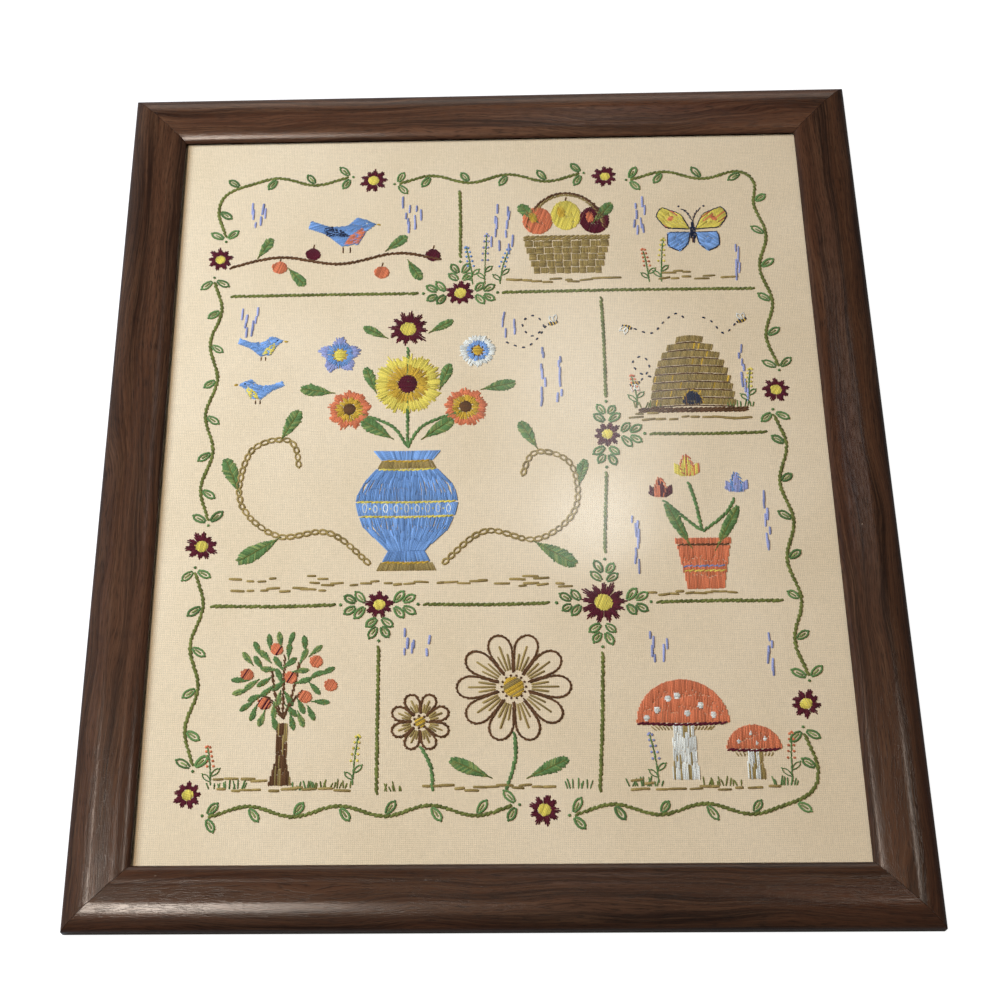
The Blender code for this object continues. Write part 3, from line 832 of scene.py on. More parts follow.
def work_skep(needle):
    """Coils of straw, each a band of slanting stitches between two lines."""
    s = SKEP
    levels = np.linspace(0.0, 1.0, s["coils"] + 1)
    for low, high in zip(levels[:-1], levels[1:]):
        middle = (low + high) / 2
        half = s["half_width"] * math.sqrt(max(1 - middle ** 2, 0.02))
        y1, y2 = s["foot"] + low * s["height"], s["foot"] + high * s["height"]
        count = max(4, round(2 * half / 1.02))
        xs = np.linspace(s["x"] - half + 0.4, s["x"] + half - 1.2, count)
        crown = 1.4 * (1 - ((xs - s["x"]) / half) ** 2)
        needle.mixed((("tan", 0.95), ("gold", 0.05)), np.stack((xs, y1 + 0.3 - 1.4 + crown), 1),
                     np.stack((xs + 1.3, y2 - 0.3 - 1.4 + crown), 1), width=1.15)
        needle.stem("brown", [(s["x"] - half, y1 - 1.4), (s["x"], y1), (s["x"] + half, y1 - 1.4)],
                    width=0.75, lift=0.14,
                    slant=0.15)
    door = arc((s["x"], s["foot"] + 0.5), 6.5, 10.5, 0, 180, 12)
    needle.fill((("navy", 0.7), ("brown", 0.3)), door, 90, reach=12, lift=0.16)
    needle.stem("gold", door, width=1.0, reach=4.0, lift=0.2)
    bench = [(s["x"] - s["half_width"] - 8, s["foot"] - 2.6),
             (s["x"] + s["half_width"] + 8, s["foot"] - 2.6)]
    for drop in (0.0, 1.6):
        needle.stem("brown", [(x, y - drop) for x, y in bench], width=1.5)


def work_bee(needle, x, y, direction_deg, flight):
    needle.running("navy", smooth(flight, 8))
    along, across = heading(direction_deg), left_of(heading(direction_deg))
    for i, place in enumerate(np.linspace(-3.0, 3.0, 7)):
        half = 2.1 * math.sqrt(1 - (place / 3.8) ** 2)
        middle = np.array((x, y)) + along * place
        needle.straight("gold" if i % 2 else "navy", [middle - across * half],
                        [middle + across * half], 1.05)
    for lean in (55, 100):
        needle.loops("white", [np.array((x, y)) + along * 0.6], [direction_deg + lean],
                     5.2, 2.4, 0.7, lift=0.1)


def work_pot(needle):
    p = POT
    top = p["top"] - 5
    half = p["half_foot"] + (p["half_top"] - p["half_foot"]) * (top - p["foot"]) / (p["top"] - p["foot"])
    body = [(p["x"] - p["half_foot"], p["foot"]), (p["x"] + p["half_foot"], p["foot"]),
            (p["x"] + half, top),
            (p["x"] - half, top)]
    needle.fill((("coral", 1.0),), body, 90, reach=9)
    rim = [(p["x"] - p["half_top"], top + 0.6), (p["x"] + p["half_top"], top + 0.6),
           (p["x"] + p["half_top"], p["top"]), (p["x"] - p["half_top"], p["top"])]
    needle.fill((("coral", 1.0),), rim, 90, reach=9)
    for level, wool in ((top + 0.2, "brown"), (p["foot"] + 12, "yellow"), (p["foot"] + 15, "blue")):
        flare = p["half_top"] - p["half_foot"]
        wide = p["half_foot"] + flare * (level - p["foot"]) / (p["top"] - p["foot"])
        needle.stem(wool, [(p["x"] - wide, level), (p["x"] + wide, level)], width=1.0, lift=0.14)


def work_tree(needle):
    t, crown = TREE, TREE_CROWN
    trunk = [(t["x"] - t["half_foot"] - 2, t["foot"]), (t["x"] + t["half_foot"] + 2, t["foot"]),
             (t["x"] + t["half_top"], t["foot"] + 16), (t["x"] + t["half_top"], t["top"] - 16),
             (t["x"] - t["half_top"], t["top"] - 16), (t["x"] - t["half_top"], t["foot"] + 16)]
    needle.fill((("brown", 0.75), ("tan", 0.25)), trunk, 90, reach=10)
    for x, y in ((-14, -8), (12, -6), (-8, 10), (9, 12), (0, 18)):
        needle.stem("brown", smooth([(t["x"], t["top"] - 14), (t["x"] + x * 0.5, crown["y"] - 12),
                                     (crown["x"] + x, crown["y"] + y)], 6), width=1.2)
    rings = ((0.9, 22), (0.66, 16), (0.4, 10), (0.14, 4))
    apples = np.array(APPLES, float)
    for ring, (share, count) in enumerate(rings):
        for i in range(count):
            turn = 360 * (i + 0.5 * (ring % 2)) / count + needle.random.uniform(-5, 5)
            place = np.array((crown["x"], crown["y"])) + heading(turn) * crown["radius"] * share * 0.86
            if np.linalg.norm(apples - place, axis=1).min() < 5.0:
                continue
            tone = ((("leaf", 0.85), ("stem", 0.15)) if (i + ring) % 3
                    else (("pale_leaf", 0.8), ("leaf", 0.2)))
            fishbone(needle, *place, 10.5, 4.6, turn + needle.random.uniform(-35, 35), tone, vein="leaf")
    for x, y in APPLES:
        needle.fill((("coral", 0.85), ("maroon", 0.15)), all_round((x, y), 4.0, 4.0, 14), 60, lift=0.16)


def work_toadstool(needle, x, foot, stem, half_stem, half_cap, cap):
    stalk = [(x - half_stem * 1.3, foot), (x + half_stem * 1.3, foot), (x + half_stem, foot + stem),
             (x - half_stem, foot + stem)]
    needle.fill((("white", 0.8), ("tan", 0.2)), stalk, 90, reach=9)
    base = foot + stem
    outline = arc((x, base), half_cap, cap, 0, 180, 22)
    needle.fill((("coral", 1.0),), outline, 90, reach=8.5)
    needle.stem("maroon", [(x - half_cap, base), (x, base - 1.2), (x + half_cap, base)],
                width=1.4, lift=0.1)
    gills = np.arange(-half_cap * 0.7, half_cap * 0.7, 2.2)
    needle.straight("tan", np.stack((x + gills, np.full(len(gills), base - 1.6)), 1),
                    np.stack((x + gills * 0.82, np.full(len(gills), base - 4.6)), 1), 0.9)
    spots = [(-0.55, 0.3), (-0.1, 0.62), (0.4, 0.4), (0.1, 0.22),
             (-0.3, 0.55), (0.66, 0.18), (-0.78, 0.12)]
    for a, b in spots[: 7 if half_cap > 20 else 4]:
        middle = (x + a * half_cap, base + b * cap)
        needle.fill((("white", 1.0),), all_round(middle, half_cap * 0.09, half_cap * 0.08, 10),
                    0, lift=0.16)


def work_open_daisy(needle, x, y, radius, petals, foot_x, foot_y):
    for i in range(petals):
        turn = 90 + 360 * (i + 0.5) / petals
        along = heading(turn)
        across = left_of(along) * math.sin(math.pi / petals) * 0.74
        path = ((0.24, -0.28), (0.5, -0.66), (0.76, -0.9), (0.94, -0.6), (1.0, 0.0),
                (0.94, 0.6), (0.76, 0.9), (0.5, 0.66), (0.24, 0.28))
        petal = smooth([np.array((x, y)) + (along * a + across * b) * radius for a, b in path], 4)
        needle.stem("brown", petal, width=1.35, step=2.5, reach=4.6, slant=0.36)
        for side in (-0.3, 0.0, 0.3):
            near = np.array((x, y)) + (along * 0.3 + across * side * 0.6) * radius
            far = np.array((x, y)) + (along * (0.62 if side else 0.8) + across * side * 1.3) * radius
            needle.straight("tan", [near], [far], 1.4)
    eye = all_round((x, y), radius * 0.19, radius * 0.19, 16)
    needle.fill((("gold", 0.8), ("tan", 0.2)), eye, 30)
    ring = np.array(all_round((x, y), radius * 0.21, radius * 0.21, max(7, round(radius * 0.4))))
    needle.knots("brown", ring, 1.8)
    bend = ((x + foot_x) / 2 + 3, (y - radius * 0.76 + foot_y) / 2)
    needle.stem("leaf", smooth([(x, y - radius * 0.8), bend, (foot_x, foot_y)], 8))


def work_butterfly(needle):
    x, y, span = BUTTERFLY["x"], BUTTERFLY["y"], BUTTERFLY["half_span"]
    upper = ((0.08, 0.05), (0.3, 0.55), (0.85, 0.8), (1.0, 0.5), (0.75, 0.1))
    lower = ((0.08, -0.05), (0.7, -0.05), (0.72, -0.5), (0.4, -0.68), (0.15, -0.45))
    for side in (-1, 1):
        for shape, wool, edge, slope in ((upper, "yellow", "coral", 40),
                                         (lower, "pale_blue", "blue", -35)):
            outline = [(x + side * a * span, y + b * span) for a, b in shape]
            angle = slope if side > 0 else 180 - slope
            needle.fill(((wool, 0.9), (edge, 0.1)), outline, angle, reach=8)
            closed = [*outline, outline[0]]
            needle.stem("navy", Course(closed).at(np.linspace(0, Course(closed).length, 40)),
                        width=0.8, step=2.2,
                        reach=3.8, slant=0.2, lift=0.1)
            middle = np.mean(outline, axis=0)
            needle.fill(((edge, 1.0),), all_round(middle, 2.6, 2.2, 12), angle, lift=0.14)
        needle.stem("navy", smooth([(x, y + 7), (x + side * 3, y + 15), (x + side * 8, y + 19)], 5),
                    width=0.7)
        needle.knots("navy", [(x + side * 8.4, y + 19.6)], 1.6)
    needle.fill((("navy", 0.8), ("brown", 0.2)), leaf_outline(x, y - 1, 20, 3.6, 90),
                90, reach=6, lift=0.14)


def work_sprig(needle, x, foot, height, lean, wool):
    course = smooth([(x, foot), (x + lean * 0.3, foot + height * 0.5), (x + lean, foot + height)], 8)
    needle.stem("leaf", course, width=0.95, reach=4.2, slant=0.25)
    line = Course(course)
    for share in (0.45, 0.58, 0.7, 0.82, 0.93):
        for side in (-1, 1):
            place = line.at(line.length * share) + (side * (2.6 - 1.6 * share), 1.2)
            needle.knots(wool, [place], 1.9)
    needle.knots(wool, [line.at(line.length)], 1.9)
    for share, side in ((0.12, -1), (0.25, 1)):
        needle.loops("leaf", [line.at(line.length * share)], [90 - side * 48], 6.5, 2.6, 0.9)


def work_grass(needle, wool, x, foot, half_width, blades):
    xs = x + np.linspace(-half_width, half_width, blades) + needle.random.uniform(-0.8, 0.8, blades)
    lean = needle.random.uniform(-2.2, 2.2, blades)
    tall = needle.random.uniform(3.5, 7.0, blades)
    needle.straight(wool, pairs(xs, foot), pairs(xs + lean, foot + tall), 0.95)


def work_dashes(needle, wool, x, y, half_width, half_height, count, direction_deg):
    places = needle.scatter((x, y), half_width, half_height, count)
    turns = np.radians(direction_deg + needle.random.normal(0, 3, len(places)))
    half = needle.random.uniform(2.6, 5.4, len(places))[:, None] * pairs(np.cos(turns), np.sin(turns))
    needle.straight(wool, places - half, places + half, 1.7)


def work_panel():
    """Every stitch of the panel, in the order that a needleworker would lay them."""
    needle = Needle(1907)
    for row in DASHES:
        work_dashes(needle, *row)
    for row in GRASS:
        work_grass(needle, *row)
    work_vine(needle)
    work_dividers(needle)
    for wool, points in SCROLLS:
        line = smooth(points, 10)
        if wool == "tan":
            needle.chain("tan", line, 5.0, 3.0, 1.35)
        else:
            needle.stem(wool, line, width=1.8)
    work_urn(needle)
    for x, y, length, width, direction_deg in LEAVES:
        fishbone(needle, x, y, length, width, direction_deg, (("leaf", 0.7), ("pale_leaf", 0.3)))
    for row in BLOOMS:
        work_bloom(needle, *row)
    for row in TULIPS:
        work_tulip(needle, *row)
    for row in ROUNDS:
        work_round(needle, *row)
    for row in BIRDS:
        work_bird(needle, *row)
    work_basket(needle)
    work_skep(needle)
    for row in BEES:
        work_bee(needle, *row)
    work_pot(needle)
    work_tree(needle)
    for row in TOADSTOOLS:
        work_toadstool(needle, *row)
    for row in OPEN_DAISIES:
        work_open_daisy(needle, *row)
    work_butterfly(needle)
    for row in SPRIGS:
        work_sprig(needle, *row)
    return needle


# The linen's own unevenness

def linen_half_sizes():
    taken = RAIL_WIDTH - REBATE_WIDTH + EDGE_CLEARANCE
    return FRAME_WIDTH / 2 - taken, FRAME_HEIGHT / 2 - taken


def blurred(field, passes):
    for _ in range(passes):
        field = (np.roll(field, 1, 0) + np.roll(field, -1, 0) + 2 * field) / 4
        field = (np.roll(field, 1, 1) + np.roll(field, -1, 1) + 2 * field) / 4
    return field


class Linen:
    """Heights of the stretched linen above its even level, drawn in a little round the stitches."""

    def __init__(self, needle):
        self.half_x, self.half_y = linen_half_sizes()
        self.columns = round(2 * self.half_x / LINEN_STEP) + 1
        self.rows = round(2 * self.half_y / LINEN_STEP) + 1
        self.xs = np.linspace(-self.half_x, self.half_x, self.columns)
        self.ys = np.linspace(-self.half_y, self.half_y, self.rows)
        middles = [centres[:, centres.shape[1] // 2, :2]
                   for threads in needle.threads.values() for centres, _, _, _ in threads]
        middles = np.concatenate(middles)
        worked, _, _ = np.histogram2d(middles[:, 0], middles[:, 1], bins=(self.columns, self.rows),
                                      range=((-self.half_x, self.half_x), (-self.half_y, self.half_y)))
        pull = np.clip(blurred(worked, 3), 0, 1)
        rough = np.random.default_rng(31).normal(0, 1, worked.shape)
        fine = blurred(rough, 2)
        fine = fine / fine.std()
        broad = blurred(rough, 120)
        broad = broad / np.abs(broad).max()
        self.height = LINEN_WAVE * broad + PUCKER * (0.18 + 0.5 * pull) * fine * 0.4 - 0.03 * pull
        self.height = np.clip(self.height, -0.12, 0.1)

    def at(self, x, y):
        column = np.clip((x + self.half_x) / (2 * self.half_x) * (self.columns - 1),
                         0, self.columns - 1.001)
        row = np.clip((y + self.half_y) / (2 * self.half_y) * (self.rows - 1), 0, self.rows - 1.001)
        i, j = column.astype(int), row.astype(int)
        a, b = column - i, row - j
        h = self.height
        return ((h[i, j] * (1 - a) + h[i + 1, j] * a) * (1 - b)
                + (h[i, j + 1] * (1 - a) + h[i + 1, j + 1] * a) * b)


# Meshes

def mesh_piece(name, vertices, loops, starts, material, uvs=None, shades=None):
    """A piece from arrays: the corners of all its faces in one row, and where each face starts."""
    mesh = bpy.data.meshes.new(name)
    mesh.vertices.add(len(vertices))
    mesh.vertices.foreach_set("co", np.ascontiguousarray(vertices, np.float32).ravel())
    mesh.loops.add(len(loops))
    mesh.loops.foreach_set("vertex_index", np.ascontiguousarray(loops, np.int32))
    mesh.polygons.add(len(starts))
    mesh.polygons.foreach_set("loop_start", np.ascontiguousarray(starts, np.int32))
    if uvs is not None:
        layer = mesh.uv_layers.new(name="Run")
        layer.uv.foreach_set("vector", np.ascontiguousarray(uvs, np.float32).ravel())
    if shades is not None:
        shade = mesh.attributes.new("shade", "FLOAT", "POINT")
        shade.data.foreach_set("value", np.ascontiguousarray(shades, np.float32))
    mesh.update(calc_edges=True)
    mesh.validate()
    mesh.shade_smooth()
    mesh.materials.append(material)
    piece = bpy.data.objects.new(name, mesh)
    bpy.context.scene.collection.objects.link(piece)
    return piece


def thread_faces(count, stations):
    """Corner numbers of every thread's tube and its two caps, with each corner's station and side."""
    sides = TUBE_SIDES
    quads, marks = [], []
    for i in range(stations - 1):
        for j in range(sides):
            k = (j + 1) % sides
            quads += [i * sides + j, i * sides + k, (i + 1) * sides + k, (i + 1) * sides + j]
            marks += [(i, j), (i, j + 1), (i + 1, j + 1), (i + 1, j)]
    last = stations - 1
    caps = list(range(sides - 1, -1, -1)) + [last * sides + j for j in range(sides)]
    marks += [(0, j) for j in range(sides - 1, -1, -1)] + [(last, j) for j in range(sides)]
    one = np.array(quads + caps)
    loops = (one[None] + (np.arange(count) * stations * sides)[:, None]).ravel()
    quad_count = (stations - 1) * sides
    one_starts = np.concatenate((np.arange(quad_count) * 4, quad_count * 4 + np.array((0, sides))))
    starts = (one_starts[None] + (np.arange(count) * len(one))[:, None]).ravel()
    return loops, starts, np.array(marks)


def wool_piece(wool, threads, linen, material):
    """One mesh of all the stitches in one wool."""
    angles = np.arange(TUBE_SIDES) * 2 * math.pi / TUBE_SIDES + math.pi / TUBE_SIDES
    vertices, loops, starts, uvs, shades = [], [], [], [], []
    vertex_base = loop_base = 0
    for centres, half_width, half_height, shade in threads:
        count, stations = half_width.shape
        along = np.gradient(centres[..., :2], axis=1)
        along = along / np.maximum(np.linalg.norm(along, axis=2, keepdims=True), 1e-9)
        side = left_of(along)
        height = centres[..., 2] + LINEN_TOP + linen.at(centres[..., 0], centres[..., 1])
        ring = np.empty((count, stations, TUBE_SIDES, 3))
        ring[..., :2] = (centres[..., None, :2]
                         + side[..., None, :] * (half_width[..., None] * np.cos(angles))[..., None])
        ring[..., 2] = height[..., None] + half_height[..., None] * np.sin(angles)
        vertices.append(ring.reshape(-1, 3))
        face_loops, face_starts, marks = thread_faces(count, stations)
        loops.append(face_loops + vertex_base)
        starts.append(face_starts + loop_base)
        steps = np.linalg.norm(np.diff(centres[..., :2], axis=1), axis=2)
        reached = np.concatenate((np.zeros((count, 1)), np.cumsum(steps, axis=1)), axis=1)
        reached = reached + shade[:, None] * 5.0
        uv = np.stack((reached[:, marks[:, 0]] * MM,
                       np.broadcast_to(marks[:, 1] / TUBE_SIDES, (count, len(marks)))),
                      axis=2)
        uvs.append(uv.reshape(-1, 2))
        shades.append(np.repeat(shade, stations * TUBE_SIDES))
        vertex_base += count * stations * TUBE_SIDES
        loop_base += count * len(marks)
    return mesh_piece("wool_" + wool, np.concatenate(vertices) * MM, np.concatenate(loops),
                      np.concatenate(starts),
                      material, np.concatenate(uvs), np.concatenate(shades))


def linen_piece(linen, material):
    """The linen as a thin sheet: its worked face, its plain back and the cut edge between them."""
    columns, rows = linen.columns, linen.rows
    x, y = np.meshgrid(linen.xs, linen.ys, indexing="ij")
    top = np.stack((x, y, LINEN_TOP + linen.height), axis=2).reshape(-1, 3)
    number = np.arange(columns * rows).reshape(columns, rows)
    quads = np.stack((number[:-1, :-1], number[1:, :-1], number[1:, 1:], number[:-1, 1:]),
                     axis=2).reshape(-1)
    rim = np.concatenate((number[:, 0], number[-1, 1:], number[-2::-1, -1], number[0, -2:0:-1]))
    under = top[rim].copy()
    under[:, 2] = LINEN_BOTTOM
    base = len(top)
    count = len(rim)
    here = np.arange(count)
    after = (here + 1) % count
    walls = np.stack((base + here, base + after, rim[after], rim[here]), axis=1).reshape(-1)
    loops = np.concatenate((quads, walls, base + here[::-1]))
    quad_total = (len(quads) + len(walls)) // 4
    starts = np.concatenate((np.arange(quad_total) * 4, [quad_total * 4]))
    vertices = np.concatenate((top, under)) * MM
    return mesh_piece("embroidered_linen_face", vertices, loops, starts, material)


def rail_section():
    """(distance in from the outer side, height) round the moulding, from the back's outer arris."""
    shoulder = arc((RIDGE_FROM_OUTSIDE, SIDE_HEIGHT), RIDGE_FROM_OUTSIDE,
                   RIDGE_HEIGHT - SIDE_HEIGHT, 180, 90, 16)
    drop = NOSE_HEIGHT - LIP_UNDERSIDE
    start = math.radians(NOSE_START_DEG)
    across = (RAIL_WIDTH - NOSE_FROM_OUTSIDE) / (1 - math.sin(start))
    up = drop / math.cos(start)
    nose = arc((RAIL_WIDTH - across, LIP_UNDERSIDE), across, up, 90 - NOSE_START_DEG, 0, 12)
    slope = (RIDGE_HEIGHT - NOSE_HEIGHT) / (NOSE_FROM_OUTSIDE - RIDGE_FROM_OUTSIDE)
    flat = []
    for inward in np.linspace(RIDGE_FROM_OUTSIDE, NOSE_FROM_OUTSIDE, 16)[1:-1]:
        into_cove = max(0.0, (inward - COVE_START) / (NOSE_FROM_OUTSIDE - COVE_START))
        dip = COVE_DEPTH * math.sin(math.pi * into_cove)
        flat.append((float(inward), RIDGE_HEIGHT - slope * (inward - RIDGE_FROM_OUTSIDE) - dip))
    rebate_wall = RAIL_WIDTH - REBATE_WIDTH
    lip = [(RAIL_WIDTH - LIP_EDGE, LIP_UNDERSIDE), (rebate_wall, LIP_UNDERSIDE)]
    back = [(rebate_wall, ARRIS), (rebate_wall - ARRIS, 0.0), (ARRIS, 0.0),
            (ARRIS * 0.3, ARRIS * 0.3), (0.0, ARRIS)]
    nose[-1] = (RAIL_WIDTH, LIP_UNDERSIDE + LIP_EDGE * 0.6)
    return shoulder + flat + nose + lip + back


def rail_piece(name, length, turn_deg, centre_y, offset, tone, material):
    """A rail along X with its outer side towards +Y, then turned about the panel's centre."""
    section = rail_section()
    count = len(section)
    inset = MITRE_GAP / 2 * math.sqrt(2)
    stations = round(length / RAIL_STATION)
    strides = np.diff(np.array(section + section[:1]), axis=0)
    girth = np.concatenate(([0.0], np.cumsum(np.linalg.norm(strides, axis=1))))
    turn = Matrix.Rotation(math.radians(turn_deg), 4, "Z")
    vertices, runs = [], []
    for station in range(stations + 1):
        share = station / stations
        for inward, height in section:
            half = length / 2 - inward - inset
            x = -half + 2 * half * share
            sway = noise.noise(Vector((x * 0.012 + offset, inward * 0.05, height * 0.05)))
            dent = RAIL_UNEVENNESS * sway if SIDE_HEIGHT < height and inward > 0.5 else 0.0
            rise = dent * min(1.0, (height - SIDE_HEIGHT) / 3)
            place = turn @ Vector((x, centre_y - inward, height + rise))
            vertices.append(tuple(place * MM))
            runs.append(x)
    loops, starts, uvs = [], [], []
    for station in range(stations):
        for i in range(count):
            j = (i + 1) % count
            a, b = station * count, (station + 1) * count
            starts.append(len(loops))
            loops += [a + i, a + j, b + j, b + i]
            uvs += [((runs[along] + offset * PLANK_STEP) * MM, girth[i + over] * MM)
                    for along, over in ((a + i, 0), (a + j, 1), (b + j, 1), (b + i, 0))]
    for first, order in ((0, range(count - 1, -1, -1)), (stations * count, range(count))):
        starts.append(len(loops))
        for i in order:
            loops.append(first + i)
            uvs.append((section[i][0] * MM, section[i][1] * MM))
    tones = np.full(len(vertices), tone)
    piece = mesh_piece(name, np.array(vertices), np.array(loops), np.array(starts),
                       material, np.array(uvs), tones)
    piece.data.set_sharp_from_angle(angle=math.radians(32))
    return piece


# Shader building

class Graph:
    """Adds nodes to a material or a node group and links them."""

    def __init__(self, tree):
        self.tree = tree

    def add(self, kind, **settings):
        node = self.tree.nodes.new(kind)
        for name, value in settings.items():
            setattr(node, name, value)
        return node

    def feed(self, socket, value):
        if isinstance(value, bpy.types.NodeSocket):
            self.tree.links.new(value, socket)
        else:
            socket.default_value = value

    def math(self, operation, a, b=0.0):
        node = self.add("ShaderNodeMath", operation=operation)
        self.feed(node.inputs[0], a)
        self.feed(node.inputs[1], b)
        return node.outputs[0]

    def dot(self, vector, way):
        node = self.add("ShaderNodeVectorMath", operation="DOT_PRODUCT")
        self.feed(node.inputs[0], vector)
        node.inputs[1].default_value = way
        return node.outputs["Value"]

    def scaled(self, vector, scale):
        node = self.add("ShaderNodeVectorMath", operation="MULTIPLY")
        self.feed(node.inputs[0], vector)
        node.inputs[1].default_value = scale
        return node.outputs[0]

    def noise(self, vector, scale=1.0, detail=2.0, roughness=0.5):
        node = self.add("ShaderNodeTexNoise")
        self.feed(node.inputs["Vector"], vector)
        node.inputs["Scale"].default_value = scale
        node.inputs["Detail"].default_value = detail
        node.inputs["Roughness"].default_value = roughness
        return node.outputs["Fac"]

    def spread(self, value, low, high, to_low=0.0, to_high=1.0):
        node = self.add("ShaderNodeMapRange")
        self.feed(node.inputs["Value"], value)
        node.inputs["From Min"].default_value = low
        node.inputs["From Max"].default_value = high
        node.inputs["To Min"].default_value = to_low
        node.inputs["To Max"].default_value = to_high
        return node.outputs["Result"]

    def mix(self, factor, a, b, blend="MIX"):
        node = self.add("ShaderNodeMix", data_type="RGBA", blend_type=blend)
        self.feed(node.inputs["Factor"], factor)
        self.feed(node.inputs[6], a)
        self.feed(node.inputs[7], b)
        return node.outputs[2]

    def grey(self, value):
        node = self.add("ShaderNodeCombineColor")
        for socket in node.inputs:
            self.feed(socket, value)
        return node.outputs[0]

    def bump(self, height, strength, distance):
        node = self.add("ShaderNodeBump")
        node.inputs["Strength"].default_value = strength
        node.inputs["Distance"].default_value = distance
        self.feed(node.inputs["Height"], height)
        return node.outputs["Normal"]


def new_group(name, inputs, outputs):
    """An empty node group with its sockets, and its graph, entry and exit nodes."""
    group = bpy.data.node_groups.new(name, "ShaderNodeTree")
    for label, kind in inputs:
        group.interface.new_socket(label, in_out="INPUT", socket_type=kind)
    for label, kind in outputs:
        group.interface.new_socket(label, in_out="OUTPUT", socket_type=kind)
    graph = Graph(group)
    return group, graph, graph.add("NodeGroupInput"), graph.add("NodeGroupOutput")


def new_material(name):
    made = bpy.data.materials.new(name)
    made.use_nodes = True
    made.node_tree.nodes.clear()
    graph = Graph(made.node_tree)
    shader = graph.add("ShaderNodeBsdfPrincipled")
    output = graph.add("ShaderNodeOutputMaterial")
    graph.feed(output.inputs["Surface"], shader.outputs[0])
    return made, graph, shader


def let_through(made, g, shader, kind, output):
    """Lets light straight through the material where that output of such a node is one."""
    clear = g.add("ShaderNodeBsdfTransparent")
    where = g.add(kind)
    blend = g.add("ShaderNodeMixShader")
    g.feed(blend.inputs[0], where.outputs[output])
    g.feed(blend.inputs[1], shader.outputs[0])
    g.feed(blend.inputs[2], clear.outputs[0])
    surface = next(n for n in made.node_tree.nodes if n.bl_idname == "ShaderNodeOutputMaterial")
    g.feed(surface.inputs["Surface"], blend.outputs[0])


def place_group(graph, group, values):
    node = graph.add("ShaderNodeGroup", node_tree=group)
    for name, value in values.items():
        graph.feed(node.inputs[name], value)
    return node


def wool_twist_group():
    """The twist of plied wool, uneven in tone from stitch to stitch and along each one, with painted shade
    that darkens the grooves between the plies.
    """
    group, g, entry, leave = new_group(
        "Wool twist",
        (("Run", "NodeSocketVector"), ("Stitch", "NodeSocketFloat"), ("Dye", "NodeSocketColor")),
        (("Colour", "NodeSocketColor"), ("Height", "NodeSocketFloat")))
    split = g.add("ShaderNodeSeparateXYZ")
    g.feed(split.inputs[0], entry.outputs["Run"])
    along = g.math("MULTIPLY", split.outputs[0], PLY_TURNS)
    turns = g.math("ADD", along, g.math("MULTIPLY", split.outputs[1], 2.0))
    ply = g.math("ABSOLUTE", g.math("SINE", g.math("MULTIPLY", turns, math.pi)))
    fibre = g.noise(g.scaled(entry.outputs["Run"], (2500.0, 9.0, 1.0)), 1.0, 3.0, 0.65)
    height = g.math("ADD", g.math("POWER", ply, 0.6), g.math("MULTIPLY", fibre, 0.5))
    g.feed(leave.inputs["Height"], height)
    tone = g.spread(entry.outputs["Stitch"], 0.0, 1.0, 0.72, 1.22)
    # Painted shade: the colour darkens in the grooves between the plies, where shade would fall.
    groove_painted_shade = g.spread(ply, 0.0, 0.7, 0.7, 1.03)
    fuzz = g.spread(fibre, 0.3, 0.75, 0.88, 1.1)
    level = g.math("MULTIPLY", g.math("MULTIPLY", tone, groove_painted_shade), fuzz)
    g.feed(leave.inputs["Colour"], g.mix(1.0, entry.outputs["Dye"], g.grey(level), "MULTIPLY"))
    return group


def wool_material(wool, group):
    made, g, shader = new_material("wool_" + wool)
    run = g.add("ShaderNodeUVMap", uv_map="Run")
    stitch = g.add("ShaderNodeAttribute", attribute_name="shade")
    twist = place_group(g, group, {"Run": run.outputs[0], "Stitch": stitch.outputs["Fac"],
                                   "Dye": linear(WOOLS[wool])})
    # The twist's colour carries painted shade in the grooves between the plies.
    g.feed(shader.inputs["Base Color"], twist.outputs["Colour"])
    shader.inputs["Roughness"].default_value = 0.82
    shader.inputs["Sheen Weight"].default_value = 0.18
    shader.inputs["Sheen Roughness"].default_value = 0.45
    shader.inputs["Specular IOR Level"].default_value = 0.2
    g.feed(shader.inputs["Normal"], g.bump(twist.outputs["Height"], 0.5, 0.00012))
    return made


def thread_rows(g, across, uneven, wander):
    """Threads side by side, each of its own thickness, and none quite straight."""
    turns_per_metre = 2.0 * math.pi / (THREAD_PITCH * MM)
    turns = g.math("ADD", g.math("MULTIPLY", across, turns_per_metre), g.math("MULTIPLY", wander, 9.0))
    row = g.math("ADD", g.math("MULTIPLY", g.math("SINE", turns), 0.14), 0.2)
    return g.math("ADD", row, g.math("MULTIPLY", uneven, 0.6))


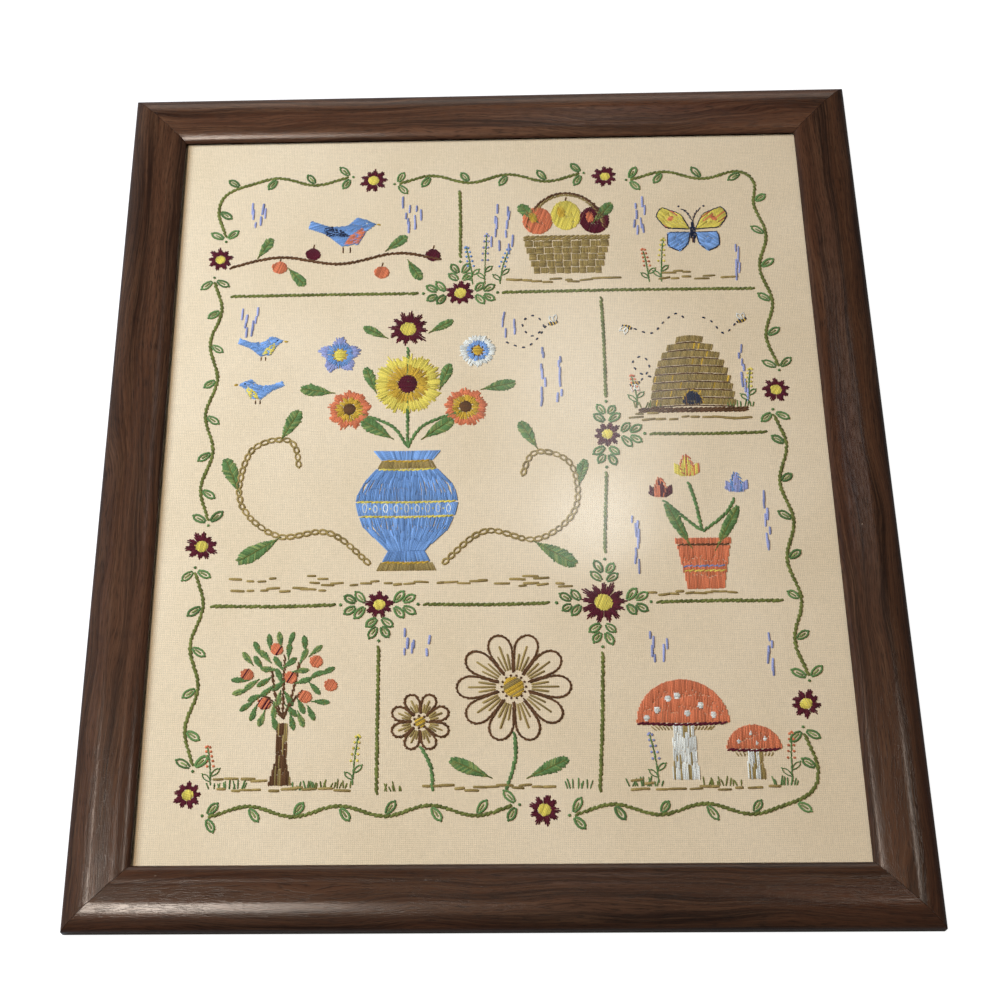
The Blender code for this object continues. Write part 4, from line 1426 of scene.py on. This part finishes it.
def linen_material():
    made, g, shader = new_material("natural_linen")
    place = g.add("ShaderNodeTexCoord").outputs["Object"]
    split = g.add("ShaderNodeSeparateXYZ")
    g.feed(split.inputs[0], place)
    wander = g.noise(place, 26.0, 2.0, 0.5)
    uneven_up = g.noise(g.scaled(place, (1600.0, 170.0, 1.0)), 1.0, 2.0, 0.6)
    warp = thread_rows(g, split.outputs[0], uneven_up, wander)
    uneven_over = g.noise(g.scaled(place, (170.0, 1600.0, 1.0)), 1.0, 2.0, 0.6)
    weft = thread_rows(g, split.outputs[1], uneven_over, wander)
    slub_up = g.noise(g.scaled(place, (700.0, 22.0, 1.0)), 1.0, 3.0, 0.6)
    slub_over = g.noise(g.scaled(place, (22.0, 700.0, 1.0)), 1.0, 3.0, 0.6)
    cloud = g.noise(place, 9.0, 3.0, 0.55)
    threads = g.math("ADD", warp, weft)
    slubs = g.math("ADD", slub_up, slub_over)
    # Partly painted shade: the colour is darker between the threads, where shade falls in the weave's
    # hollows, and it also varies with each thread's own uneven tone.
    tone = g.math("MULTIPLY", g.spread(threads, 0.7, 1.3, 0.83, 1.1),
                  g.spread(slubs, 0.7, 1.3, 0.98, 1.02))
    shade = g.grey(tone)
    ground = g.mix(g.spread(cloud, 0.35, 0.7), linear((231, 206, 169)), linear((239, 215, 180)))
    g.feed(shader.inputs["Base Color"], g.mix(1.0, ground, shade, "MULTIPLY"))
    shader.inputs["Roughness"].default_value = 0.88
    shader.inputs["Sheen Weight"].default_value = 0.1
    shader.inputs["Specular IOR Level"].default_value = 0.2
    height = g.math("ADD", threads, g.math("MULTIPLY", slubs, 0.35))
    g.feed(shader.inputs["Normal"], g.bump(height, 0.5, 0.00022))
    return made


def stained_wood_material():
    made, g, shader = new_material("stained_open_grain")
    run = g.add("ShaderNodeUVMap", uv_map="Run").outputs[0]
    tone = g.add("ShaderNodeAttribute", attribute_name="shade").outputs["Fac"]
    warp = g.noise(g.scaled(run, (6.0, 26.0, 1.0)), 1.0, 2.0, 0.5)
    bent = g.add("ShaderNodeVectorMath", operation="ADD")
    g.feed(bent.inputs[0], run)
    sway = g.add("ShaderNodeCombineXYZ")
    g.feed(sway.inputs[1], g.math("MULTIPLY", g.math("SUBTRACT", warp, 0.5), 0.03))
    g.feed(bent.inputs[1], sway.outputs[0])
    grain = bent.outputs[0]
    rings = g.noise(g.scaled(grain, (4.0, 150.0, 1.0)), 1.0, 3.0, 0.6)
    streaks = g.noise(g.scaled(grain, (14.0, 800.0, 1.0)), 1.0, 3.0, 0.65)
    pores = g.noise(g.scaled(grain, (110.0, 2000.0, 1.0)), 1.0, 2.0, 0.6)
    pore = g.spread(pores, 0.5, 0.64)
    red_patch = g.noise(g.scaled(run, (4.0, 34.0, 1.0)), 1.0, 1.0)
    nick = g.noise(g.scaled(run, (150.0, 340.0, 1.0)), 1.0, 1.0)
    wood = g.mix(g.spread(rings, 0.35, 0.66), linear((38, 21, 13)), linear((78, 49, 32)))
    wood = g.mix(g.spread(streaks, 0.46, 0.7, 0.0, 0.6), wood, linear((94, 65, 44)))
    wood = g.mix(g.spread(red_patch, 0.5, 0.68, 0.0, 0.32), wood, linear((78, 43, 27)))
    wood = g.mix(g.math("MULTIPLY", pore, 0.6), wood, linear((20, 11, 8)))
    wood = g.mix(g.spread(nick, 0.83, 0.86, 0.0, 0.8), wood, linear((186, 162, 140)))
    level = g.spread(tone, 0.0, 1.0, 0.55, 1.45)
    g.feed(shader.inputs["Base Color"], g.mix(1.0, wood, g.grey(level), "MULTIPLY"))
    g.feed(shader.inputs["Roughness"], g.spread(streaks, 0.3, 0.7, 0.32, 0.44))
    shader.inputs["Specular IOR Level"].default_value = 0.16
    shader.inputs["Specular Tint"].default_value = (1.0, 0.82, 0.68, 1.0)
    shader.inputs["Coat Weight"].default_value = 0.66
    shader.inputs["Coat Roughness"].default_value = 0.16
    height = g.math("SUBTRACT", g.math("MULTIPLY", streaks, 0.5), g.math("MULTIPLY", pore, 0.8))
    g.feed(shader.inputs["Normal"], g.bump(height, 0.5, 0.00016))
    g.feed(shader.inputs["Coat Normal"], g.bump(height, 0.16, 0.00016))
    return made


def glass_material():
    """Clear glass that lets lamps shine straight through to the linen."""
    made, g, shader = new_material("clear_picture_glass")
    shader.inputs["Base Color"].default_value = (0.96, 0.98, 0.97, 1.0)
    shader.inputs["Roughness"].default_value = 0.02
    shader.inputs["IOR"].default_value = 1.5
    shader.inputs["Transmission Weight"].default_value = 1.0
    let_through(made, g, shader, "ShaderNodeLightPath", "Is Shadow Ray")
    return made


def board_material():
    made, g, shader = new_material("plain_hardboard")
    place = g.add("ShaderNodeTexCoord").outputs["Object"]
    fleck = g.noise(g.scaled(place, (420.0, 900.0, 1.0)), 1.0, 4.0, 0.7)
    cloud = g.noise(place, 14.0, 3.0, 0.5)
    board = g.mix(g.spread(fleck, 0.35, 0.7), linear((104, 76, 52)), linear((140, 106, 74)))
    board = g.mix(g.spread(cloud, 0.4, 0.7, 0.0, 0.4), board, linear((120, 84, 56)))
    g.feed(shader.inputs["Base Color"], board)
    shader.inputs["Roughness"].default_value = 0.78
    g.feed(shader.inputs["Normal"], g.bump(fleck, 0.3, 0.0002))
    return made


def floor_material():
    """A plain pale floor, seen through from underneath."""
    made, g, shader = new_material("pale_floor")
    shader.inputs["Base Color"].default_value = (0.18, 0.18, 0.18, 1.0)
    shader.inputs["Roughness"].default_value = 0.9
    shader.inputs["Specular IOR Level"].default_value = 0.1
    shader.inputs["Emission Color"].default_value = (1.0, 1.0, 1.0, 1.0)
    path = g.add("ShaderNodeLightPath")
    shine = g.math("MULTIPLY", path.outputs["Is Camera Ray"], FLOOR_GLOW)
    g.feed(shader.inputs["Emission Strength"], shine)
    let_through(made, g, shader, "ShaderNodeNewGeometry", "Backfacing")
    made.cycles.emission_sampling = "NONE"
    return made


def glow_material():
    """Pale light that fades towards the edge of what the glass mirrors."""
    made = bpy.data.materials.new("mirrored_glow")
    made.use_nodes = True
    made.node_tree.nodes.clear()
    g = Graph(made.node_tree)
    fade = g.add("ShaderNodeAttribute", attribute_name="shade")
    light = g.add("ShaderNodeEmission")
    light.inputs["Color"].default_value = (0.96, 1.0, 1.0, 1.0)
    g.feed(light.inputs["Strength"], fade.outputs["Fac"])
    output = g.add("ShaderNodeOutputMaterial")
    g.feed(output.inputs["Surface"], light.outputs[0])
    made.cycles.emission_sampling = "NONE"
    return made


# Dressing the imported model

def dress_frame():
    wood = stained_wood_material()
    half_height, half_width = FRAME_HEIGHT / 2, FRAME_WIDTH / 2
    rails = (
        # side, length, turn, centre to outside, place in the plank, tone
        ("top", FRAME_WIDTH, 0, half_height, 1.3, 0.76),
        ("left", FRAME_HEIGHT, 90, half_width, 4.1, 0.4),
        ("bottom", FRAME_WIDTH, 180, half_height, 7.7, 0.26),
        ("right", FRAME_HEIGHT, 270, half_width, 2.9, 0.4),
    )
    for side, length, turn_deg, centre_y, offset, tone in rails:
        rail = rail_piece(side + "_rail_moulding", length, turn_deg, centre_y, offset, tone, wood)
        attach(rail, "root")
        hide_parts("rail_" + side)


def dress_flat_nodes():
    for node, material in (("glass", glass_material()), ("backing_board", board_material())):
        NODES[node].data.materials.clear()
        NODES[node].data.materials.append(material)


def dress_linen():
    needle = work_panel()
    linen = Linen(needle)
    cloth = linen_piece(linen, linen_material())
    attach(cloth, "root")
    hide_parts("embroidered_linen")
    group = wool_twist_group()
    for wool, threads in needle.threads.items():
        if threads:
            piece = wool_piece(wool, threads, linen, wool_material(wool, group))
            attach(piece, "root")


# Floor, light and camera

FLOOR_SIZE = 14.0
FLOOR_GLOW = 0.95
FLOOR_DROP = 0.0003
FLOOR_LAP = 0.002
CAMERA_PLACE = (-0.0072, -0.4823, 0.9679)
CAMERA_TILT_DEG = 25.584
CAMERA_YAW_DEG = -4.084
CAMERA_ROLL_DEG = 4.366
CAMERA_FOCAL = 1.7214
CAMERA_SHIFT_X = 0.0707
CAMERA_SENSOR = 36.0

# Room light: dim overhead, where the glass and the rails' flats mirror it, brighter to the left,
# and from below, where it shows the board and the rails' backs
ROOM_LOW = 0.08
ROOM_LEFT = 0.36
ROOM_BELOW = 0.8
ROOM_LEFT_WAY = (-0.85, 0.45, 0.1)
ROOM_DARK_WAY = (0.0, 0.42, 0.91)

LAMPS = (
    # name, place, aim, width, height, power, colour, whether it shines on varnish and glass
    ("window_left", (-0.85, 0.2, 0.85), (0.0, 0.0, 0.0), 0.5, 0.6, 16.2, (0.68, 0.84, 1.08), False),
    ("ceiling_far_left", (-0.88, 0.44, 2.5), (-0.88, 0.44, 0.0), 0.24, 0.32, 3.0, (1.0, 0.88, 0.77), True),
    ("ceiling_left", (-0.7, -0.17, 2.5), (-0.7, -0.17, 0.0), 0.3, 0.9, 28.0, (1.0, 0.88, 0.77), True),
    ("ceiling_middle", (-0.43, -0.17, 2.5), (-0.43, -0.17, 0.0), 0.24, 0.9, 4.5, (1.0, 0.87, 0.77), True),
    ("ceiling_right", (1.02, 0.44, 2.5), (1.02, 0.44, 0.0), 0.32, 0.4, 4.0, (1.0, 0.9, 0.78), True),
    ("window_behind", (0.1, 2.8, 1.2), (0.0, 0.0, 0.0), 2.4, 1.0, 9.0, (1.0, 0.94, 0.84), True),
)

# Soft patches of light that the glass mirrors, each at its place on the glass in millimetres
GLOW_HEIGHT = 2.6
GLOW_CELLS = 72
GLOW_REACH = 0.52
GLOWS = (
    # x, y, half width, half height, strength
    (62.0, 30.0, 80.0, 130.0, 1.5),
    (64.0, -38.0, 46.0, 42.0, 1.8),
)


def make_floor():
    """A wide floor, open under the panel so that light reaches its back."""
    half = FLOOR_SIZE / 2
    hole_x = FRAME_WIDTH / 2 * MM - FLOOR_LAP
    hole_y = FRAME_HEIGHT / 2 * MM - FLOOR_LAP
    rim = np.array(((-half, -half), (half, -half), (half, half), (-half, half)))
    hole = np.array(((-hole_x, -hole_y), (hole_x, -hole_y), (hole_x, hole_y), (-hole_x, hole_y)))
    vertices = np.column_stack((np.vstack((rim, hole)), np.full(8, -FLOOR_DROP)))
    loops = np.array([(n, (n + 1) % 4, 4 + (n + 1) % 4, 4 + n) for n in range(4)]).reshape(-1)
    floor = mesh_piece("floor", vertices, loops, np.arange(4) * 4, floor_material())


def make_glow():
    """A sheet of light over the lamps: the glass mirrors it as patches that fade out."""
    glass_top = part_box("glass")[1][2]
    eye = np.array((CAMERA_PLACE[0], CAMERA_PLACE[1], 2 * glass_top - CAMERA_PLACE[2]))
    side = GLOW_CELLS + 1
    share = np.linspace(-GLOW_REACH, GLOW_REACH, side)
    x, y = (grid.ravel() for grid in np.meshgrid(share, share, indexing="ij"))
    on_glass = np.stack((x, y, np.full(side * side, glass_top)), axis=1)
    vertices = eye + (on_glass - eye) * (GLOW_HEIGHT - eye[2]) / (glass_top - eye[2])
    strength = np.zeros(side * side)
    for middle_x, middle_y, half_width, half_height, peak in GLOWS:
        away = ((x / MM - middle_x) / half_width) ** 2 + ((y / MM - middle_y) / half_height) ** 2
        strength += peak * np.clip(1 - away, 0, 1) ** 1.5
    number = np.arange(side * side).reshape(side, side)
    loops = np.stack((number[:-1, :-1], number[:-1, 1:], number[1:, 1:], number[1:, :-1]),
                     axis=2).reshape(-1)
    glow = mesh_piece("mirrored_glow", vertices, loops, np.arange(GLOW_CELLS ** 2) * 4,
                      glow_material(), None, strength)
    glow.visible_camera = False
    glow.visible_diffuse = False
    glow.visible_shadow = False


def make_lights():
    """The lamps, whose streaks the varnish shows and the glass doesn't mirror."""
    unlit = bpy.data.collections.new("unlit_by_lamps")
    unlit.objects.link(bpy.data.objects["glass"])
    unlit.collection_objects[0].light_linking.link_state = "EXCLUDE"
    for name, place, aim, width, height, power, colour, shines in LAMPS:
        light = bpy.data.lights.new(name, "AREA")
        light.shape = "RECTANGLE"
        light.size = width
        light.size_y = height
        light.energy = power
        light.color = colour
        lamp = bpy.data.objects.new(name, light)
        lamp.location = place
        lamp.rotation_euler = (Vector(aim) - Vector(place)).to_track_quat("-Z", "Y").to_euler()
        lamp.visible_camera = False
        lamp.visible_glossy = shines
        lamp.light_linking.receiver_collection = unlit
        bpy.context.scene.collection.objects.link(lamp)
    make_room()


def make_room():
    world = bpy.data.worlds.new("soft_room")
    world.use_nodes = True
    g = Graph(world.node_tree)
    sky = world.node_tree.nodes["Background"]
    way = g.add("ShaderNodeTexCoord").outputs["Generated"]
    left = g.spread(g.dot(way, ROOM_LEFT_WAY), -0.2, 1.0, ROOM_LOW, ROOM_LEFT)
    overhead = g.spread(g.dot(way, ROOM_DARK_WAY), 0.72, 0.93, 1.0, 0.12)
    seen = g.add("ShaderNodeLightPath").outputs["Is Camera Ray"]
    below = g.spread(g.dot(way, (0.0, 0.0, -1.0)), 0.1, 0.3, 0.0, ROOM_BELOW)
    level = g.math("MAXIMUM", g.math("ADD", g.math("MULTIPLY", left, overhead), below), seen)
    g.feed(sky.inputs["Strength"], level)
    sky.inputs["Color"].default_value = (1.0, 0.99, 0.97, 1.0)
    bpy.context.scene.world = world


def make_camera():
    data = bpy.data.cameras.new("photo_view")
    data.sensor_width = CAMERA_SENSOR
    data.lens = CAMERA_SENSOR * CAMERA_FOCAL
    data.shift_x = CAMERA_SHIFT_X
    data.clip_start = 0.01
    camera = bpy.data.objects.new("photo_view", data)
    turn = (Matrix.Rotation(math.radians(-CAMERA_YAW_DEG), 4, "Z")
            @ Matrix.Rotation(math.radians(CAMERA_TILT_DEG), 4, "X")
            @ Matrix.Rotation(math.radians(-CAMERA_ROLL_DEG), 4, "Z"))
    camera.matrix_world = Matrix.Translation(CAMERA_PLACE) @ turn
    bpy.context.scene.collection.objects.link(camera)
    bpy.context.scene.camera = camera


# The plain view transform keeps the floor white, and few bounces are enough for a flat panel
picture = bpy.context.scene
picture.view_settings.view_transform = "Standard"
picture.cycles.max_bounces = 6
picture.cycles.diffuse_bounces = 1
picture.cycles.glossy_bounces = 2
picture.cycles.transmission_bounces = 5
picture.cycles.caustics_reflective = False
picture.cycles.caustics_refractive = False
dress_frame()
dress_flat_nodes()
dress_linen()
make_floor()
make_lights()
make_glow()
make_camera()
